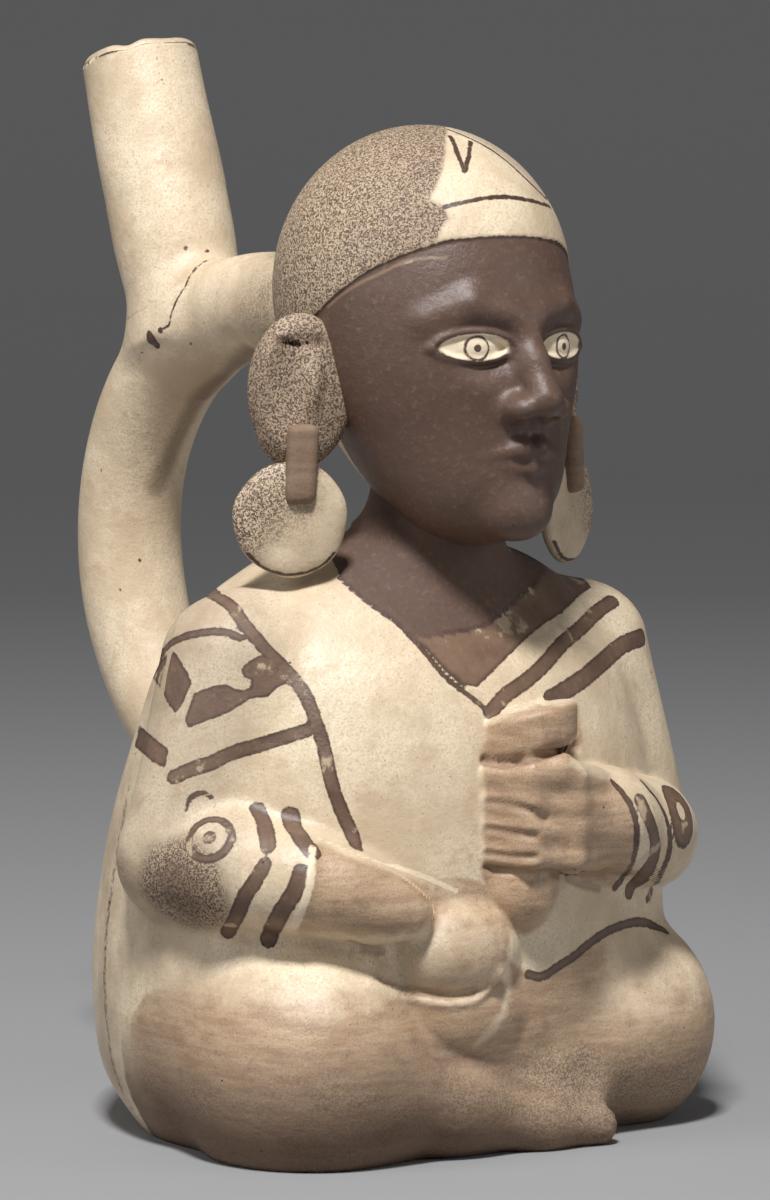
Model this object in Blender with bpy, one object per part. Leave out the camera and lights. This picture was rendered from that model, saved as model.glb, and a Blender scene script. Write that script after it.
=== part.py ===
"""Effigy bottle: a seated figure in fired clay whose back carries a stirrup and a spout.

The whole vessel is one solid, hollow, with walls of true thickness and one mouth, at the end of the
spout. It stands on its flat underside. The origin is the middle of that underside, +Z is up and the
figure faces -Y, so its right hand is at -X.

The figure is drawn in steps, FIGURE_STEPS of them from its seat to the top of its cap. Its round
masses are distance fields, blended softly and made meshes by following rays out from a middle. Its
limbs, fingers and folds are round bars carried along smooth lines.
"""

import math

import bpy
import numpy as np

# Driving sizes, in metres.
FIGURE_HEIGHT = 0.203
BODY_WALL = 0.0050
HEAD_WALL = 0.0045
NECK_BORE_RADIUS = 0.0085
STIRRUP_RADIUS = 0.0112
STIRRUP_BORE_RADIUS = 0.0072
STIRRUP_REACH = 0.0957
SPOUT_RADIUS = 0.0131
SPOUT_BORE_RADIUS = 0.0093
SPOUT_LENGTH = 0.0570
SPOUT_LEAN = math.radians(18.0)
EAR_DISC_RADIUS = 0.0117
EAR_DISC_THICKNESS = 0.0044

# The figure's own grid: a step is a millimetre at this height.
FIGURE_STEPS = 203.0
STEP = FIGURE_HEIGHT / FIGURE_STEPS

# How finely the forms are faceted: columns round a form and rows from pole to pole, or sides of a
# bar and rings along it.
BODY_GRID = (36, 25)
HEAD_GRID = (34, 22)
BODY_HOLLOW_GRID = (20, 13)
HEAD_HOLLOW_GRID = (16, 10)
KNEE_GRID = (16, 11)
ROLL_GRID = (14, 9)
KNOB_GRID = (10, 7)
LIMB_GRID = (12, 8)
FINGER_GRID = (6, 4)
ARCH_GRID = (14, 22)
BORE_GRID = (8, 18)
SPOUT_SIDES = 16
DISC_SIDES = 16

# The chamber's outline in steps: height, half width, reach to the front, reach to the back.
CHAMBER = (
    (-8.0, 46.0, 34.0, 48.0),
    (0.0, 52.5, 38.0, 55.0),
    (10.0, 58.5, 41.0, 62.0),
    (24.0, 61.2, 43.0, 65.2),
    (36.0, 61.5, 43.0, 66.0),
    (52.0, 60.0, 42.5, 62.5),
    (68.0, 57.5, 41.5, 57.0),
    (82.0, 55.0, 39.5, 51.0),
    (95.0, 51.5, 34.5, 44.0),
    (105.0, 45.5, 27.5, 37.0),
    (112.0, 37.0, 22.0, 30.0),
    (118.0, 24.0, 16.0, 21.0),
    (122.0, 8.0, 8.0, 8.0),
)

# Limbs and folds as lines of (x, y, z, radius) in steps.
NECK = ((0, -8, 108, 15), (0, -14, 138, 13))
RIGHT_UPPER_ARM = ((-44, -2, 97, 14), (-56, -3, 62, 12))
LEFT_UPPER_ARM = ((44, -6, 96, 13.2), (52.5, -12, 60, 11))
RIGHT_FOREARM = ((-56, -1, 58, 12.5), (-54, -14, 58, 12), (-47, -27, 56, 10), (-39, -34, 53, 9.4),
                 (-34.5, -37, 50.5, 8.4))
LEFT_FOREARM = ((51.5, -11, 57, 11.7), (46.5, -24, 58, 11.2), (36, -34, 60.5, 10.8), (20, -41, 64, 9.8),
                (6, -43, 66.5, 9.3))
RIGHT_SHIN = ((-38, -21, 18, 21), (-28, -28, 14, 15.5), (-15, -34, 10.5, 11.5), (3, -41, 5.6, 6.2),
              (15, -44.5, 3.8, 4.2))
LEFT_SHIN = ((38, -19, 20, 21.5), (24, -25, 18.5, 18), (8, -33, 15, 10))
HELD_THING = ((0, -41, 87.5, 8.0), (0, -41.5, 86, 9.4), (0, -42, 81, 10), (-0.2, -42, 78.6, 9.8),
              (-0.4, -41.5, 77.4, 7.6), (-1, -41.5, 68, 7.4), (-1.4, -41.5, 60, 7.6),
              (-2, -41.5, 52.5, 8.4), (-2.2, -41.5, 47.5, 6.4))
KNEES = (((-40, -19, 18), (23.5, 27, 27)), ((38.5, -19, 20), (20, 24, 23.5)))
LAP_ROLLS = (((-17, -35, 42), (13, 12, 11)), ((-14, -33, 27), (15, 12, 11)))

BODY_CENTRE = (0.0, 0.0, 52.0)
HEAD_CENTRE = (0.0, -12.0, 160.0)
EAR_TURN = math.radians(27.0)


def smooth_curve(at, knots, values):
    """A smooth line through the knots: cubic between each two, with the mean slope at each."""
    knots = np.asarray(knots, float)
    values = np.asarray(values, float)
    slopes = np.gradient(values, knots)
    at = np.clip(at, knots[0], knots[-1])
    i = np.clip(np.searchsorted(knots, at, side="right") - 1, 0, len(knots) - 2)
    span = knots[i + 1] - knots[i]
    t = (at - knots[i]) / span
    start = values[i] * (1 + 2 * t) * (1 - t) ** 2 + slopes[i] * span * t * (1 - t) ** 2
    end = values[i + 1] * t * t * (3 - 2 * t) + slopes[i + 1] * span * t * t * (t - 1)
    return start + end


def ellipsoid(p, centre, radii):
    """Distance to an ellipsoid, near enough close to it: k (k - 1) / |gradient of k|."""
    q = (p - np.asarray(centre)) / np.asarray(radii)
    k = np.linalg.norm(q, axis=-1)
    steepness = np.linalg.norm(q / np.asarray(radii), axis=-1)
    return k * (k - 1.0) / np.maximum(steepness, 1e-9)


def limb(p, start, end):
    """Distance to a round bar between two points (x, y, z, radius)."""
    start, end = np.asarray(start, float), np.asarray(end, float)
    way = end[:3] - start[:3]
    t = np.clip((p - start[:3]) @ way / (way @ way), 0.0, 1.0)
    across = np.linalg.norm(p - start[:3] - t[..., None] * way, axis=-1)
    return across - (start[3] + (end[3] - start[3]) * t)


def blend(a, b, softness):
    """Union of two forms with a fillet about as wide as the softness."""
    near = np.maximum(softness - np.abs(a - b), 0.0) / softness
    return np.minimum(a, b) - near * near * softness / 4.0


def carve(a, b, softness):
    """Form a with form b taken out, its edge eased by the softness."""
    return -blend(-a, b, softness)


def chamber(p):
    """The vessel's round chamber: an oval at each height, deeper to the back than to the front."""
    z = p[:, 2]
    heights, *outline = np.array(CHAMBER).T
    half_width, front, back = (smooth_curve(z, heights, values) for values in outline)
    depth = np.where(p[:, 1] < 0.0, front, back)
    k = np.sqrt((p[:, 0] / half_width) ** 2 + (p[:, 1] / depth) ** 2)
    slope = np.interp(z, (95.0, heights[-1]), (1.0, 0.45))
    f = (k - 1.0) * np.minimum(half_width, depth) * slope
    return np.maximum(f, np.maximum(z - heights[-1], heights[0] - z))


def trunk(p):
    """Chamber, shoulders and upper arms."""
    f = blend(chamber(p), limb(p, *RIGHT_UPPER_ARM), 5.0)
    return blend(f, limb(p, *LEFT_UPPER_ARM), 5.0)


def trunk_and_neck(p):
    """The trunk with the neck that rises from it into the head."""
    return blend(trunk(p), limb(p, *NECK), 8.0)


def hollow_of_body(p):
    """The hollow: it follows trunk and knees at the wall's thickness, above a floor as thick."""
    f = trunk(p)
    for centre, radii in KNEES:
        f = blend(f, ellipsoid(p, centre, radii), 4.0)
    return np.maximum(f, -p[:, 2]) + BODY_WALL / STEP


def skull(p):
    """Cap, cheeks and jaw as one smooth mass, which the hollow inside follows too."""
    f = ellipsoid(p, (0, -7, 171), (28.5, 31, 32))
    f = blend(f, ellipsoid(p, (0, -17, 153), (24.5, 25, 29)), 10.0)
    return blend(f, ellipsoid(p, (0, -27, 132), (14, 13, 11)), 12.0)


def mirrored(p):
    """Points folded onto the left half, for forms that are the same on both sides."""
    return np.stack((np.abs(p[:, 0]), p[:, 1], p[:, 2]), axis=-1)


def head(p):
    """The head with its calm, regular face: eye hollows, brow and chin."""
    half = mirrored(p)
    f = carve(skull(p), ellipsoid(half, (11.0, -45.0, 159.5), (8.5, 8.0, 5.5)), 3.0)
    return blend(f, ellipsoid(half, (0, -38.0, 126.5), (7, 4.5, 5.0)), 5.0)


def nose(p):
    """A straight nose: a bridge that widens down to its tip, and a wing on each side."""
    half = mirrored(p)
    f = limb(half, (0, -40.0, 163, 2.6), (0, -46.5, 149, 4.0))
    return blend(f, ellipsoid(half, (4.2, -43.5, 147.5), (3.0, 4.5, 2.8)), 2.0)


def lips(p):
    """Two closed lips, each a bar that thins towards the corners."""
    half = mirrored(p)
    upper = limb(half, (0, -41.8, 139.4, 1.9), (8.0, -38.8, 138.0, 0.9))
    lower = limb(half, (0, -41.4, 136.0, 2.1), (7.0, -38.6, 137.2, 0.9))
    return blend(upper, lower, 0.8)


def spread(count, crowding):
    """Angles round the upright axis, crowded towards the front, which is at -Y."""
    t = 2.0 * math.pi * np.arange(count) / count
    return t - crowding * np.sin(t) - math.pi / 2.0


def ray_surface(field, centre, grid, reach, crowding=0.0, slack=0.2):
    """Closed mesh where the outermost wall of a field crosses rays from a middle.

    Rays go out in columns round the upright axis and in rows from straight down to straight up.
    Each is searched from outside inwards, then its crossing is halved down.
    """
    columns, rows = grid
    angle = spread(columns, crowding)
    t = math.pi * (np.arange(1, rows) / rows - 0.5)
    rise = t - slack * np.sin(2.0 * t) / 2.0
    level = np.cos(rise)[:, None]
    ways = np.stack((level * np.cos(angle), level * np.sin(angle),
                     np.sin(rise)[:, None] + 0.0 * angle), axis=-1).reshape(-1, 3)
    ways = np.vstack((ways, ((0.0, 0.0, -1.0), (0.0, 0.0, 1.0))))
    centre = np.asarray(centre, float)
    stride = reach / 80.0
    outer = np.full(len(ways), float(reach))
    inner = np.zeros(len(ways))
    open_rays = np.arange(len(ways))
    for radius in np.arange(reach, 0.0, -stride):
        inside = field(centre + radius * ways[open_rays]) < 0.0
        inner[open_rays[inside]] = radius
        outer[open_rays[inside]] = radius + stride
        open_rays = open_rays[~inside]
    for _ in range(16):
        middle = (inner + outer) / 2.0
        inside = field(centre + middle[:, None] * ways) < 0.0
        inner = np.where(inside, middle, inner)
        outer = np.where(inside, outer, middle)
    return centre + inner[:, None] * ways, grid_faces(columns, rows - 1)


def grid_faces(columns, rows):
    """Triangles of a grid that closes round its columns, with a pole below and one above."""
    j = np.arange(columns)
    k = (j + 1) % columns
    faces = []
    for i in range(rows - 1):
        low, high = i * columns, (i + 1) * columns
        faces.append(np.stack((low + j, low + k, high + k), axis=-1))
        faces.append(np.stack((low + j, high + k, high + j), axis=-1))
    last = (rows - 1) * columns
    bottom, top = rows * columns, rows * columns + 1
    faces.append(np.stack((0 * j + bottom, k, j), axis=-1))
    faces.append(np.stack((last + j, last + k, 0 * j + top), axis=-1))
    return np.vstack(faces)


def swept_bar(path, radii, sides):
    """A round bar along a path of points, its radius given at each, closed by flat ends."""
    along = np.gradient(path, axis=0)
    along /= np.linalg.norm(along, axis=1)[:, None]
    least = np.argmin(np.abs(along).max(axis=0))
    first = np.cross(along, np.eye(3)[least])
    first /= np.linalg.norm(first, axis=1)[:, None]
    second = np.cross(along, first)
    angle = 2.0 * math.pi * np.arange(sides) / sides
    radii = np.broadcast_to(radii, len(path))[:, None, None]
    ring = (first[:, None] * np.cos(angle)[:, None] + second[:, None] * np.sin(angle)[:, None])
    rings = path[:, None] + radii * ring
    return np.vstack((rings.reshape(-1, 3), path[:1], path[-1:])), grid_faces(sides, len(path))


def round_bar(line, grid, bulge=1.0):
    """A bar along a smooth line through points (x, y, z, radius), its ends round or flatter."""
    sides, rings = grid
    line = np.asarray(line, float)
    reach = np.concatenate(((0.0,), np.cumsum(np.linalg.norm(np.diff(line[:, :3], axis=0), axis=1))))
    at = np.linspace(0.0, reach[-1], rings)
    *path, radii = (smooth_curve(at, reach, values) for values in line.T)
    path = np.stack(path, axis=-1)
    start = (path[0] - path[1]) / np.linalg.norm(path[0] - path[1])
    end = (path[-1] - path[-2]) / np.linalg.norm(path[-1] - path[-2])
    turns = np.radians((80.0, 45.0))
    head_rings = path[0] + bulge * radii[0] * np.sin(turns)[:, None] * start
    tail_rings = path[-1] + bulge * radii[-1] * np.sin(turns[::-1])[:, None] * end
    path = np.vstack((head_rings, path, tail_rings))
    radii = np.concatenate((radii[0] * np.cos(turns), radii, radii[-1] * np.cos(turns[::-1])))
    return swept_bar(path, radii, sides)


def finger_lines():
    """Four fingers of the left hand round the held thing, one over the other, and the thumb."""
    for i in range(4):
        z = 72.3 - 4.6 * i
        yield ((-9.5, -41.0, z + 0.4, 2.2), (-6.0, -50.0, z + 0.2, 2.5), (3.0, -52.5, z, 2.6),
               (14.0, -48.0, z - 0.6, 2.4))
    yield (14.0, -45.0, 70.0, 3.6), (7.5, -49.5, 75.5, 2.8), (5.5, -49.5, 78.0, 2.2)


def arch_path(count):
    """The stirrup's centre line: out of the head's back, round, and into the figure's back.

    A level run leaves the head, a half oval turns down past the outermost point and back in, and a
    short level run enters the chamber.
    """
    top, middle, bottom = 166.6 * STEP, 117.0 * STEP, 64.0 * STEP
    start, turn, end = 12.0 * STEP, 43.0 * STEP, 38.0 * STEP
    reach = STIRRUP_REACH - turn
    t = np.linspace(math.pi / 2.0, -math.pi / 2.0, count)
    height = np.where(t > 0.0, top - middle, middle - bottom)
    y = np.concatenate(((start, (start + turn) / 2.0), turn + reach * np.cos(t), (end,)))
    z = np.concatenate(((top, top), middle + height * np.sin(t), (bottom,)))
    return np.stack((0.0 * y, y, z), axis=-1)


def spout_path(shares):
    """Points on the spout's axis, which stands on the arch and leans back."""
    foot = np.array((0.0, 74.0 * STEP, 166.0 * STEP))
    way = np.array((0.0, math.sin(SPOUT_LEAN), math.cos(SPOUT_LEAN)))
    return foot + np.asarray(shares)[:, None] * SPOUT_LENGTH * way


def ear_frame(side):
    """Directions of an ear: outward along its plate, out of its face, and up."""
    out = (side * math.cos(EAR_TURN), math.sin(EAR_TURN), 0.0)
    face = (side * math.sin(EAR_TURN), -math.cos(EAR_TURN), 0.0)
    return np.array((out, face, (0.0, 0.0, 1.0)))


def ear_plate(p):
    """An ear in its own frame: an upright oval plate with a hollow in its face."""
    f = ellipsoid(p, (-2.2, 0, 0), (10.7, 4.2, 15.5))
    return carve(f, ellipsoid(p, (-1.0, 5.5, -1.0), (4.5, 3.5, 9.0)), 2.0)


def ear_lobe(p):
    """The ear's lobe in its own frame: a tab that hangs over the disc's upper half."""
    return ellipsoid(p, (0, 0, 0), (3.8, 3.0, 8.5))


def ear_disc():
    """An ear disc in its own frame: a round plate with eased edges."""
    half = EAR_DISC_THICKNESS / 2.0
    ease = 0.3 * EAR_DISC_THICKNESS
    radii = (EAR_DISC_RADIUS - ease, EAR_DISC_RADIUS, EAR_DISC_RADIUS, EAR_DISC_RADIUS - ease)
    depths = np.array((-half, ease - half, half - ease, half))
    axis = depths[:, None] * np.array((0.0, 1.0, 0.0))
    return swept_bar(axis, radii, DISC_SIDES)


def placed(points, faces, side, place):
    """A form moved from the ear's own frame to the ear's place on one side of the head."""
    place = np.array((side * place[0], place[1], place[2])) * STEP
    return points @ ear_frame(side) + place, faces if side < 0 else faces[:, ::-1]


def new_solid(name, points, faces):
    """A mesh object from points in metres and triangles."""
    mesh = bpy.data.meshes.new(name)
    mesh.from_pydata(points.tolist(), [], faces.tolist())
    mesh.validate()
    solid = bpy.data.objects.new(name, mesh)
    bpy.context.scene.collection.objects.link(solid)
    return solid


def combine(vessel, name, points, faces, operation="UNION"):
    """Join a helper solid to the vessel, or take it out."""
    helper = new_solid(name, points, faces)
    helper.hide_render = True
    helper.display_type = "WIRE"
    change = vessel.modifiers.new(name, "BOOLEAN")
    change.operation = operation
    change.solver = "EXACT"
    change.object = helper


def join_form(vessel, name, form):
    """Join a form drawn in steps to the vessel."""
    points, faces = form
    combine(vessel, name, points * STEP, faces)


def fired_clay():
    """Cream slip on earthenware, burnished to a low gloss."""
    material = bpy.data.materials.new("fired_clay")
    material.use_nodes = True
    shader = material.node_tree.nodes["Principled BSDF"]
    shader.inputs["Base Color"].default_value = (0.56, 0.42, 0.28, 1.0)
    shader.inputs["Roughness"].default_value = 0.45
    shader.inputs["Metallic"].default_value = 0.0
    return material


def add_limbs(vessel):
    """Legs, arms, hands, the held thing and the folds of the lap."""
    for side, (centre, radii) in zip(("right", "left"), KNEES):
        knee = ray_surface(lambda p: ellipsoid(p, centre, radii), centre, KNEE_GRID, 32.0)
        join_form(vessel, side + "_knee", knee)
    join_form(vessel, "right_shin", round_bar(RIGHT_SHIN, LIMB_GRID))
    join_form(vessel, "left_shin", round_bar(LEFT_SHIN, LIMB_GRID))
    for i, (centre, radii) in enumerate(LAP_ROLLS):
        roll = ray_surface(lambda p: ellipsoid(p, centre, radii), centre, ROLL_GRID, 18.0)
        join_form(vessel, f"lap_roll_{i + 1}", roll)
    join_form(vessel, "right_forearm", round_bar(RIGHT_FOREARM, LIMB_GRID))
    join_form(vessel, "left_forearm", round_bar(LEFT_FOREARM, LIMB_GRID))
    held = round_bar(HELD_THING, (LIMB_GRID[0], len(HELD_THING) + 3), bulge=0.3)
    join_form(vessel, "held_thing", held)
    for i, line in enumerate(finger_lines()):
        join_form(vessel, f"left_finger_{i + 1}", round_bar(line, FINGER_GRID))


def add_head(vessel):
    """Head with nose and lips, ears, ear lobes and ear discs."""
    join_form(vessel, "head", ray_surface(head, HEAD_CENTRE, HEAD_GRID, 60.0, crowding=0.4))
    join_form(vessel, "nose", ray_surface(nose, (0.0, -43.0, 151.0), KNOB_GRID, 20.0))
    join_form(vessel, "lips", ray_surface(lips, (0.0, -39.0, 137.7), KNOB_GRID, 16.0))
    for side, word in ((-1, "right"), (1, "left")):
        ball = (side * 11.0, -34.2, 159.3)
        eye = ray_surface(lambda p: ellipsoid(p, ball, (6.6, 5.4, 4.4)), ball, KNOB_GRID, 8.0)
        join_form(vessel, word + "_eye", eye)
        points, faces = ray_surface(ear_plate, (0.0, -0.5, 0.0), ROLL_GRID, 20.0)
        combine(vessel, word + "_ear", *placed(points * STEP, faces, side, (34.0, -8.0, 151.0)))
        combine(vessel, word + "_ear_disc", *placed(*ear_disc(), side, (36.0, -10.0, 124.8)))
        points, faces = ray_surface(ear_lobe, (0.0, 0.0, 0.0), KNOB_GRID, 12.0)
        combine(vessel, word + "_ear_lobe", *placed(points * STEP, faces, side, (35.5, -12.2, 136.5)))


def add_stirrup(vessel):
    """The arch from the head to the back, and the spout that stands on it."""
    sides, rings = ARCH_GRID
    combine(vessel, "arch", *swept_bar(arch_path(rings), STIRRUP_RADIUS, sides))
    root = 0.96 * STIRRUP_RADIUS
    ease = 0.2 * (SPOUT_RADIUS - SPOUT_BORE_RADIUS)
    radii = np.array((root, 0.5 * (root + SPOUT_RADIUS), SPOUT_RADIUS, SPOUT_RADIUS, SPOUT_RADIUS - ease))
    spout = swept_bar(spout_path((-0.05, 0.15, 0.35, 0.97, 1.0)), radii, SPOUT_SIDES)
    combine(vessel, "spout", *spout)


def cut_underside(vessel):
    """The flat underside: all that reaches below the table is cut off."""
    far, deep = 100.0 * STEP, 30.0 * STEP
    corners = [(x, y, z) for z in (-deep, 0.0) for y in (-far, far) for x in (-far, far)]
    faces = np.array(((0, 2, 3), (0, 3, 1), (4, 5, 7), (4, 7, 6), (0, 1, 5), (0, 5, 4),
                      (1, 3, 7), (1, 7, 5), (3, 2, 6), (3, 6, 7), (2, 0, 4), (2, 4, 6)))
    combine(vessel, "below_table", np.array(corners), faces, "DIFFERENCE")


def take_out_hollow(vessel):
    """The hollow inside: body, neck, head, arch and spout, open at the mouth."""
    points, faces = ray_surface(hollow_of_body, BODY_CENTRE, BODY_HOLLOW_GRID, 120.0)
    combine(vessel, "body_hollow", points * STEP, faces, "DIFFERENCE")
    points, faces = ray_surface(lambda p: skull(p) + HEAD_WALL / STEP, HEAD_CENTRE,
                                HEAD_HOLLOW_GRID, 60.0)
    combine(vessel, "head_hollow", points * STEP, faces, "DIFFERENCE")
    neck_way = np.array(((0.0, -8.0, 100.0), (0.0, -12.0, 142.0))) * STEP
    combine(vessel, "neck_bore", *swept_bar(neck_way, NECK_BORE_RADIUS, BORE_GRID[0]), "DIFFERENCE")
    sides, rings = BORE_GRID
    combine(vessel, "arch_bore", *swept_bar(arch_path(rings), STIRRUP_BORE_RADIUS, sides),
            "DIFFERENCE")
    root = 0.96 * STIRRUP_BORE_RADIUS
    bore = swept_bar(spout_path((-0.14, 0.35, 1.1)), np.array((root, SPOUT_BORE_RADIUS, SPOUT_BORE_RADIUS)),
                     SPOUT_SIDES)
    combine(vessel, "spout_bore", *bore, "DIFFERENCE")


def effigy_bottle():
    """The vessel: outer forms joined, then the hollow taken out."""
    points, faces = ray_surface(trunk_and_neck, BODY_CENTRE, BODY_GRID, 120.0, crowding=0.3)
    vessel = new_solid("effigy_bottle", points * STEP, faces)
    vessel.data.materials.append(fired_clay())
    add_limbs(vessel)
    add_head(vessel)
    add_stirrup(vessel)
    cut_underside(vessel)
    take_out_hollow(vessel)


def main():
    for old in list(bpy.data.objects):
        bpy.data.objects.remove(old, do_unlink=True)
    effigy_bottle()


main()
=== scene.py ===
"""Looks of the effigy bottle: modelled clay, painted slips, burnish, wear and a plain studio.

All forms are worked out in steps, the figure's own grid, of which there are FIGURE_STEPS from the
table to the spout's rim. Round masses are distance fields, blended softly and followed by rays out
from a middle. Painted lines are placed in the photograph's frame and laid on the form.
"""

import functools
import math

import bpy
import numpy as np
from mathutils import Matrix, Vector


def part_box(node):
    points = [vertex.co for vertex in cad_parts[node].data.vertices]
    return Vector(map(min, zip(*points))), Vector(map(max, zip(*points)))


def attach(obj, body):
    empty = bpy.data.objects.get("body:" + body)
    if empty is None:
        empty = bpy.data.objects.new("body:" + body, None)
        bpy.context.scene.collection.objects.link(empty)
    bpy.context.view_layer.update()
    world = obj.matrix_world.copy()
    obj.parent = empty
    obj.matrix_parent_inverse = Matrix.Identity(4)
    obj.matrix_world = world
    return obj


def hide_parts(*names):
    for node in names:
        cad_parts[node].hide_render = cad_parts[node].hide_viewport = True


bl_info = {
    "name": "Effigy bottle",
    "version": (1, 0, 0),
    "blender": (4, 5, 0),
    "location": "3D View > Sidebar > Bottle",
    "description": "Builds the surface, slips and studio of a stirrup-spout effigy bottle",
    "category": "Add Mesh",
}

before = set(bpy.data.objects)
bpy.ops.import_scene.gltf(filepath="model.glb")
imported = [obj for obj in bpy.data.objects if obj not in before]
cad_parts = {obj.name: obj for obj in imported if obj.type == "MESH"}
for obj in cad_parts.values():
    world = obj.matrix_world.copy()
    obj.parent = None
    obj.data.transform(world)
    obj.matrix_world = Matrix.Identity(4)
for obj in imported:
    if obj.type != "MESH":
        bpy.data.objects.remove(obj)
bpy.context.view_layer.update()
NODE = "effigy_bottle"
_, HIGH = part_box(NODE)

# A step is about a millimetre: this many of them reach from the table to the spout's rim.
FIGURE_STEPS = 224.0
STEP = float(HIGH[2]) / FIGURE_STEPS

# The photograph's camera, in steps: turn round the upright axis, distance, height, and the focal
# length and the optical axis in pixels of its 770 x 1200 frame.
PHOTO_SIZE = (770, 1200)
VIEW_TURN = math.radians(-38.0)
VIEW_DISTANCE = 1100.0
VIEW_HEIGHT = 190.0
FOCAL_PIXELS = 5400.0
AXIS_PIXEL = (400.0, 194.0)
TO_CAMERA = np.array((math.sin(VIEW_TURN), -math.cos(VIEW_TURN), 0.0))
TO_RIGHT = np.array((math.cos(VIEW_TURN), math.sin(VIEW_TURN), 0.0))
UP = np.array((0.0, 0.0, 1.0))

# How finely each form is made: columns round it and rows from pole to pole, or rings along it.
BODY_GRID = (372, 262)
HEAD_GRID = (340, 250)
EAR_GRID = (120, 90)
LOBE_GRID = (64, 48)
DISC_GRID = (160, 60)
TUBE_GRID = (144, 300)
# Rows of the spout: up its wall, over its rim and down its bore. Columns round the floor.
SPOUT_ROWS = (96, 20, 50)
FLOOR_COLUMNS = 96

# Stirrup and spout in steps: heights of the arch's ends and of its outermost point, the reach to
# the back at its start, turn, end and outermost point, and the spout's foot.
ARCH_TOP, ARCH_MIDDLE, ARCH_FOOT = 166.6, 117.0, 64.0
ARCH_START, ARCH_TURN, ARCH_END, ARCH_BACK = 12.0, 43.0, 38.0, 95.7
SPOUT_FOOT = (0.0, 74.0, 166.0)
# Shares of the spout's length at which its wall and its bore start and end.
WALL_SHARES = (-0.14, 0.968)
BORE_SHARES = (0.95, -0.1)
# The fillet between stirrup and spout: its softness, the stride at which the two grow into it, and
# the parts that may grow, as a reach along the stirrup and a share of the spout's length. Neither
# grows past its widest: one radius for the stirrup, radii by share of length for the spout.
FILLET = 7.0
GROWTH = 0.2
STIRRUP_GROWS, STIRRUP_WIDEST = 40.0, 14.8
SPOUT_GROWS, SPOUT_WIDEST = 0.42, ((-0.14, -0.03, 0.1), (8.0, 13.0, 17.0))
# Chips in the rim: angle in radians, depth and half width.
RIM_CHIPS = ((0.4, 0.7, 0.16), (1.9, 0.5, 0.3), (2.7, 0.8, 0.12), (3.9, 1.0, 0.2), (4.6, 0.5, 0.35),
             (5.6, 0.6, 0.1))

# The chamber's outline in steps: height, half width, reach to the front, reach to the back.
CHAMBER = (
    (-8.0, 46.0, 34.0, 48.0),
    (0.0, 52.5, 38.0, 55.0),
    (10.0, 58.5, 41.0, 62.0),
    (24.0, 61.2, 43.0, 65.2),
    (36.0, 61.5, 43.0, 66.0),
    (52.0, 60.0, 42.5, 62.5),
    (68.0, 57.5, 41.5, 57.0),
    (82.0, 55.0, 39.5, 51.0),
    (95.0, 51.5, 34.5, 44.0),
    (105.0, 45.5, 27.5, 37.0),
    (112.0, 37.0, 22.0, 30.0),
    (118.0, 24.0, 16.0, 21.0),
    (122.0, 8.0, 8.0, 8.0),
)

# Limbs and folds as lines of (x, y, z, radius) in steps.
NECK = ((0, -8, 108, 15), (0, -14, 138, 13))
RIGHT_UPPER_ARM = ((-44, -2, 97, 14), (-56, -3, 62, 12))
LEFT_UPPER_ARM = ((44, -6, 96, 13.2), (52.5, -12, 60, 11))
RIGHT_FOREARM = ((-56, -1, 58, 12.3), (-54, -14, 58, 11.6), (-47, -27, 56, 9.4), (-39.5, -34, 53.4, 8.6))
RIGHT_HAND = ((-41, -33.0, 54, 8.2), (-34, -37.5, 51.0, 6.6), (-29.5, -40.0, 49.6, 5.2))
LEFT_FOREARM = ((51.5, -11, 57, 11.7), (45.5, -23, 58, 10.4), (36, -33.5, 60.5, 10.4), (20, -40.5, 65, 9.6),
                (6, -42.5, 67, 9.2))
RIGHT_SHIN = ((-38, -21, 18, 21), (-28, -28, 14, 15.5), (-15, -34, 10.5, 11.5), (3, -41, 5.6, 6.2),
              (15, -44.5, 3.8, 4.2))
LEFT_SHIN = ((38, -19, 20, 21.5), (24, -25, 18.5, 18), (8, -33, 15, 10))
BEHIND_FOOT = ((2, -37.5, 9.5, 5.5), (15, -39.5, 7.0, 5.0))
HELD_STEM = ((0.4, -41.5, 82, 7.0), (-1.4, -41.5, 56, 7.0))
KNEES = (((-40, -19, 18), (23.5, 27, 27)), ((38.5, -19, 20), (20, 24, 23.5)))

# Height of the cap's edge in steps, by the reach to the back.
CAP_EDGE = ((-36.5, -33.0, -28.5, -22.0, -14.0, -9.0, 0.0, 26.0),
            (181.6, 180.8, 178.4, 174.8, 169.3, 165.9, 161.0, 150.0))

BODY_CENTRE = (0.0, 0.0, 52.0)
HEAD_CENTRE = (0.0, -12.0, 160.0)
EYE = (11.0, -38.3, 159.6)
EAR_TURN = math.radians(27.0)
EAR_PLACE = (34.0, -8.0, 151.0)
LOBE_PLACE = (34.4, -12.4, 136.5)
DISC_PLACE = (35.5, -10.2, 125.6)
DISC_HALF_THICKNESS = 2.3

# Noises in the clay: bumps per metre, detail, roughness and, where stretched, scale by axis.
NOISES = {
    "cloud": (55.0, 5.0, 0.6),
    "patches": (130.0, 6.0, 0.65),
    "fine": (700.0, 6.0, 0.7),
    "grain": (3400.0, 2.0, 0.6),
    "coarse": (1900.0, 3.0, 0.65),
    "streaks": (95.0, 5.0, 0.65, (1.0, 1.0, 6.0)),
    "brush": (300.0, 3.0, 0.6, (1.0, 1.0, 0.12)),
}
# Pits in the clay: cells per metre, and a pit's radius as a share of its cell.
PITS = (110.0, 0.035)

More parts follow.
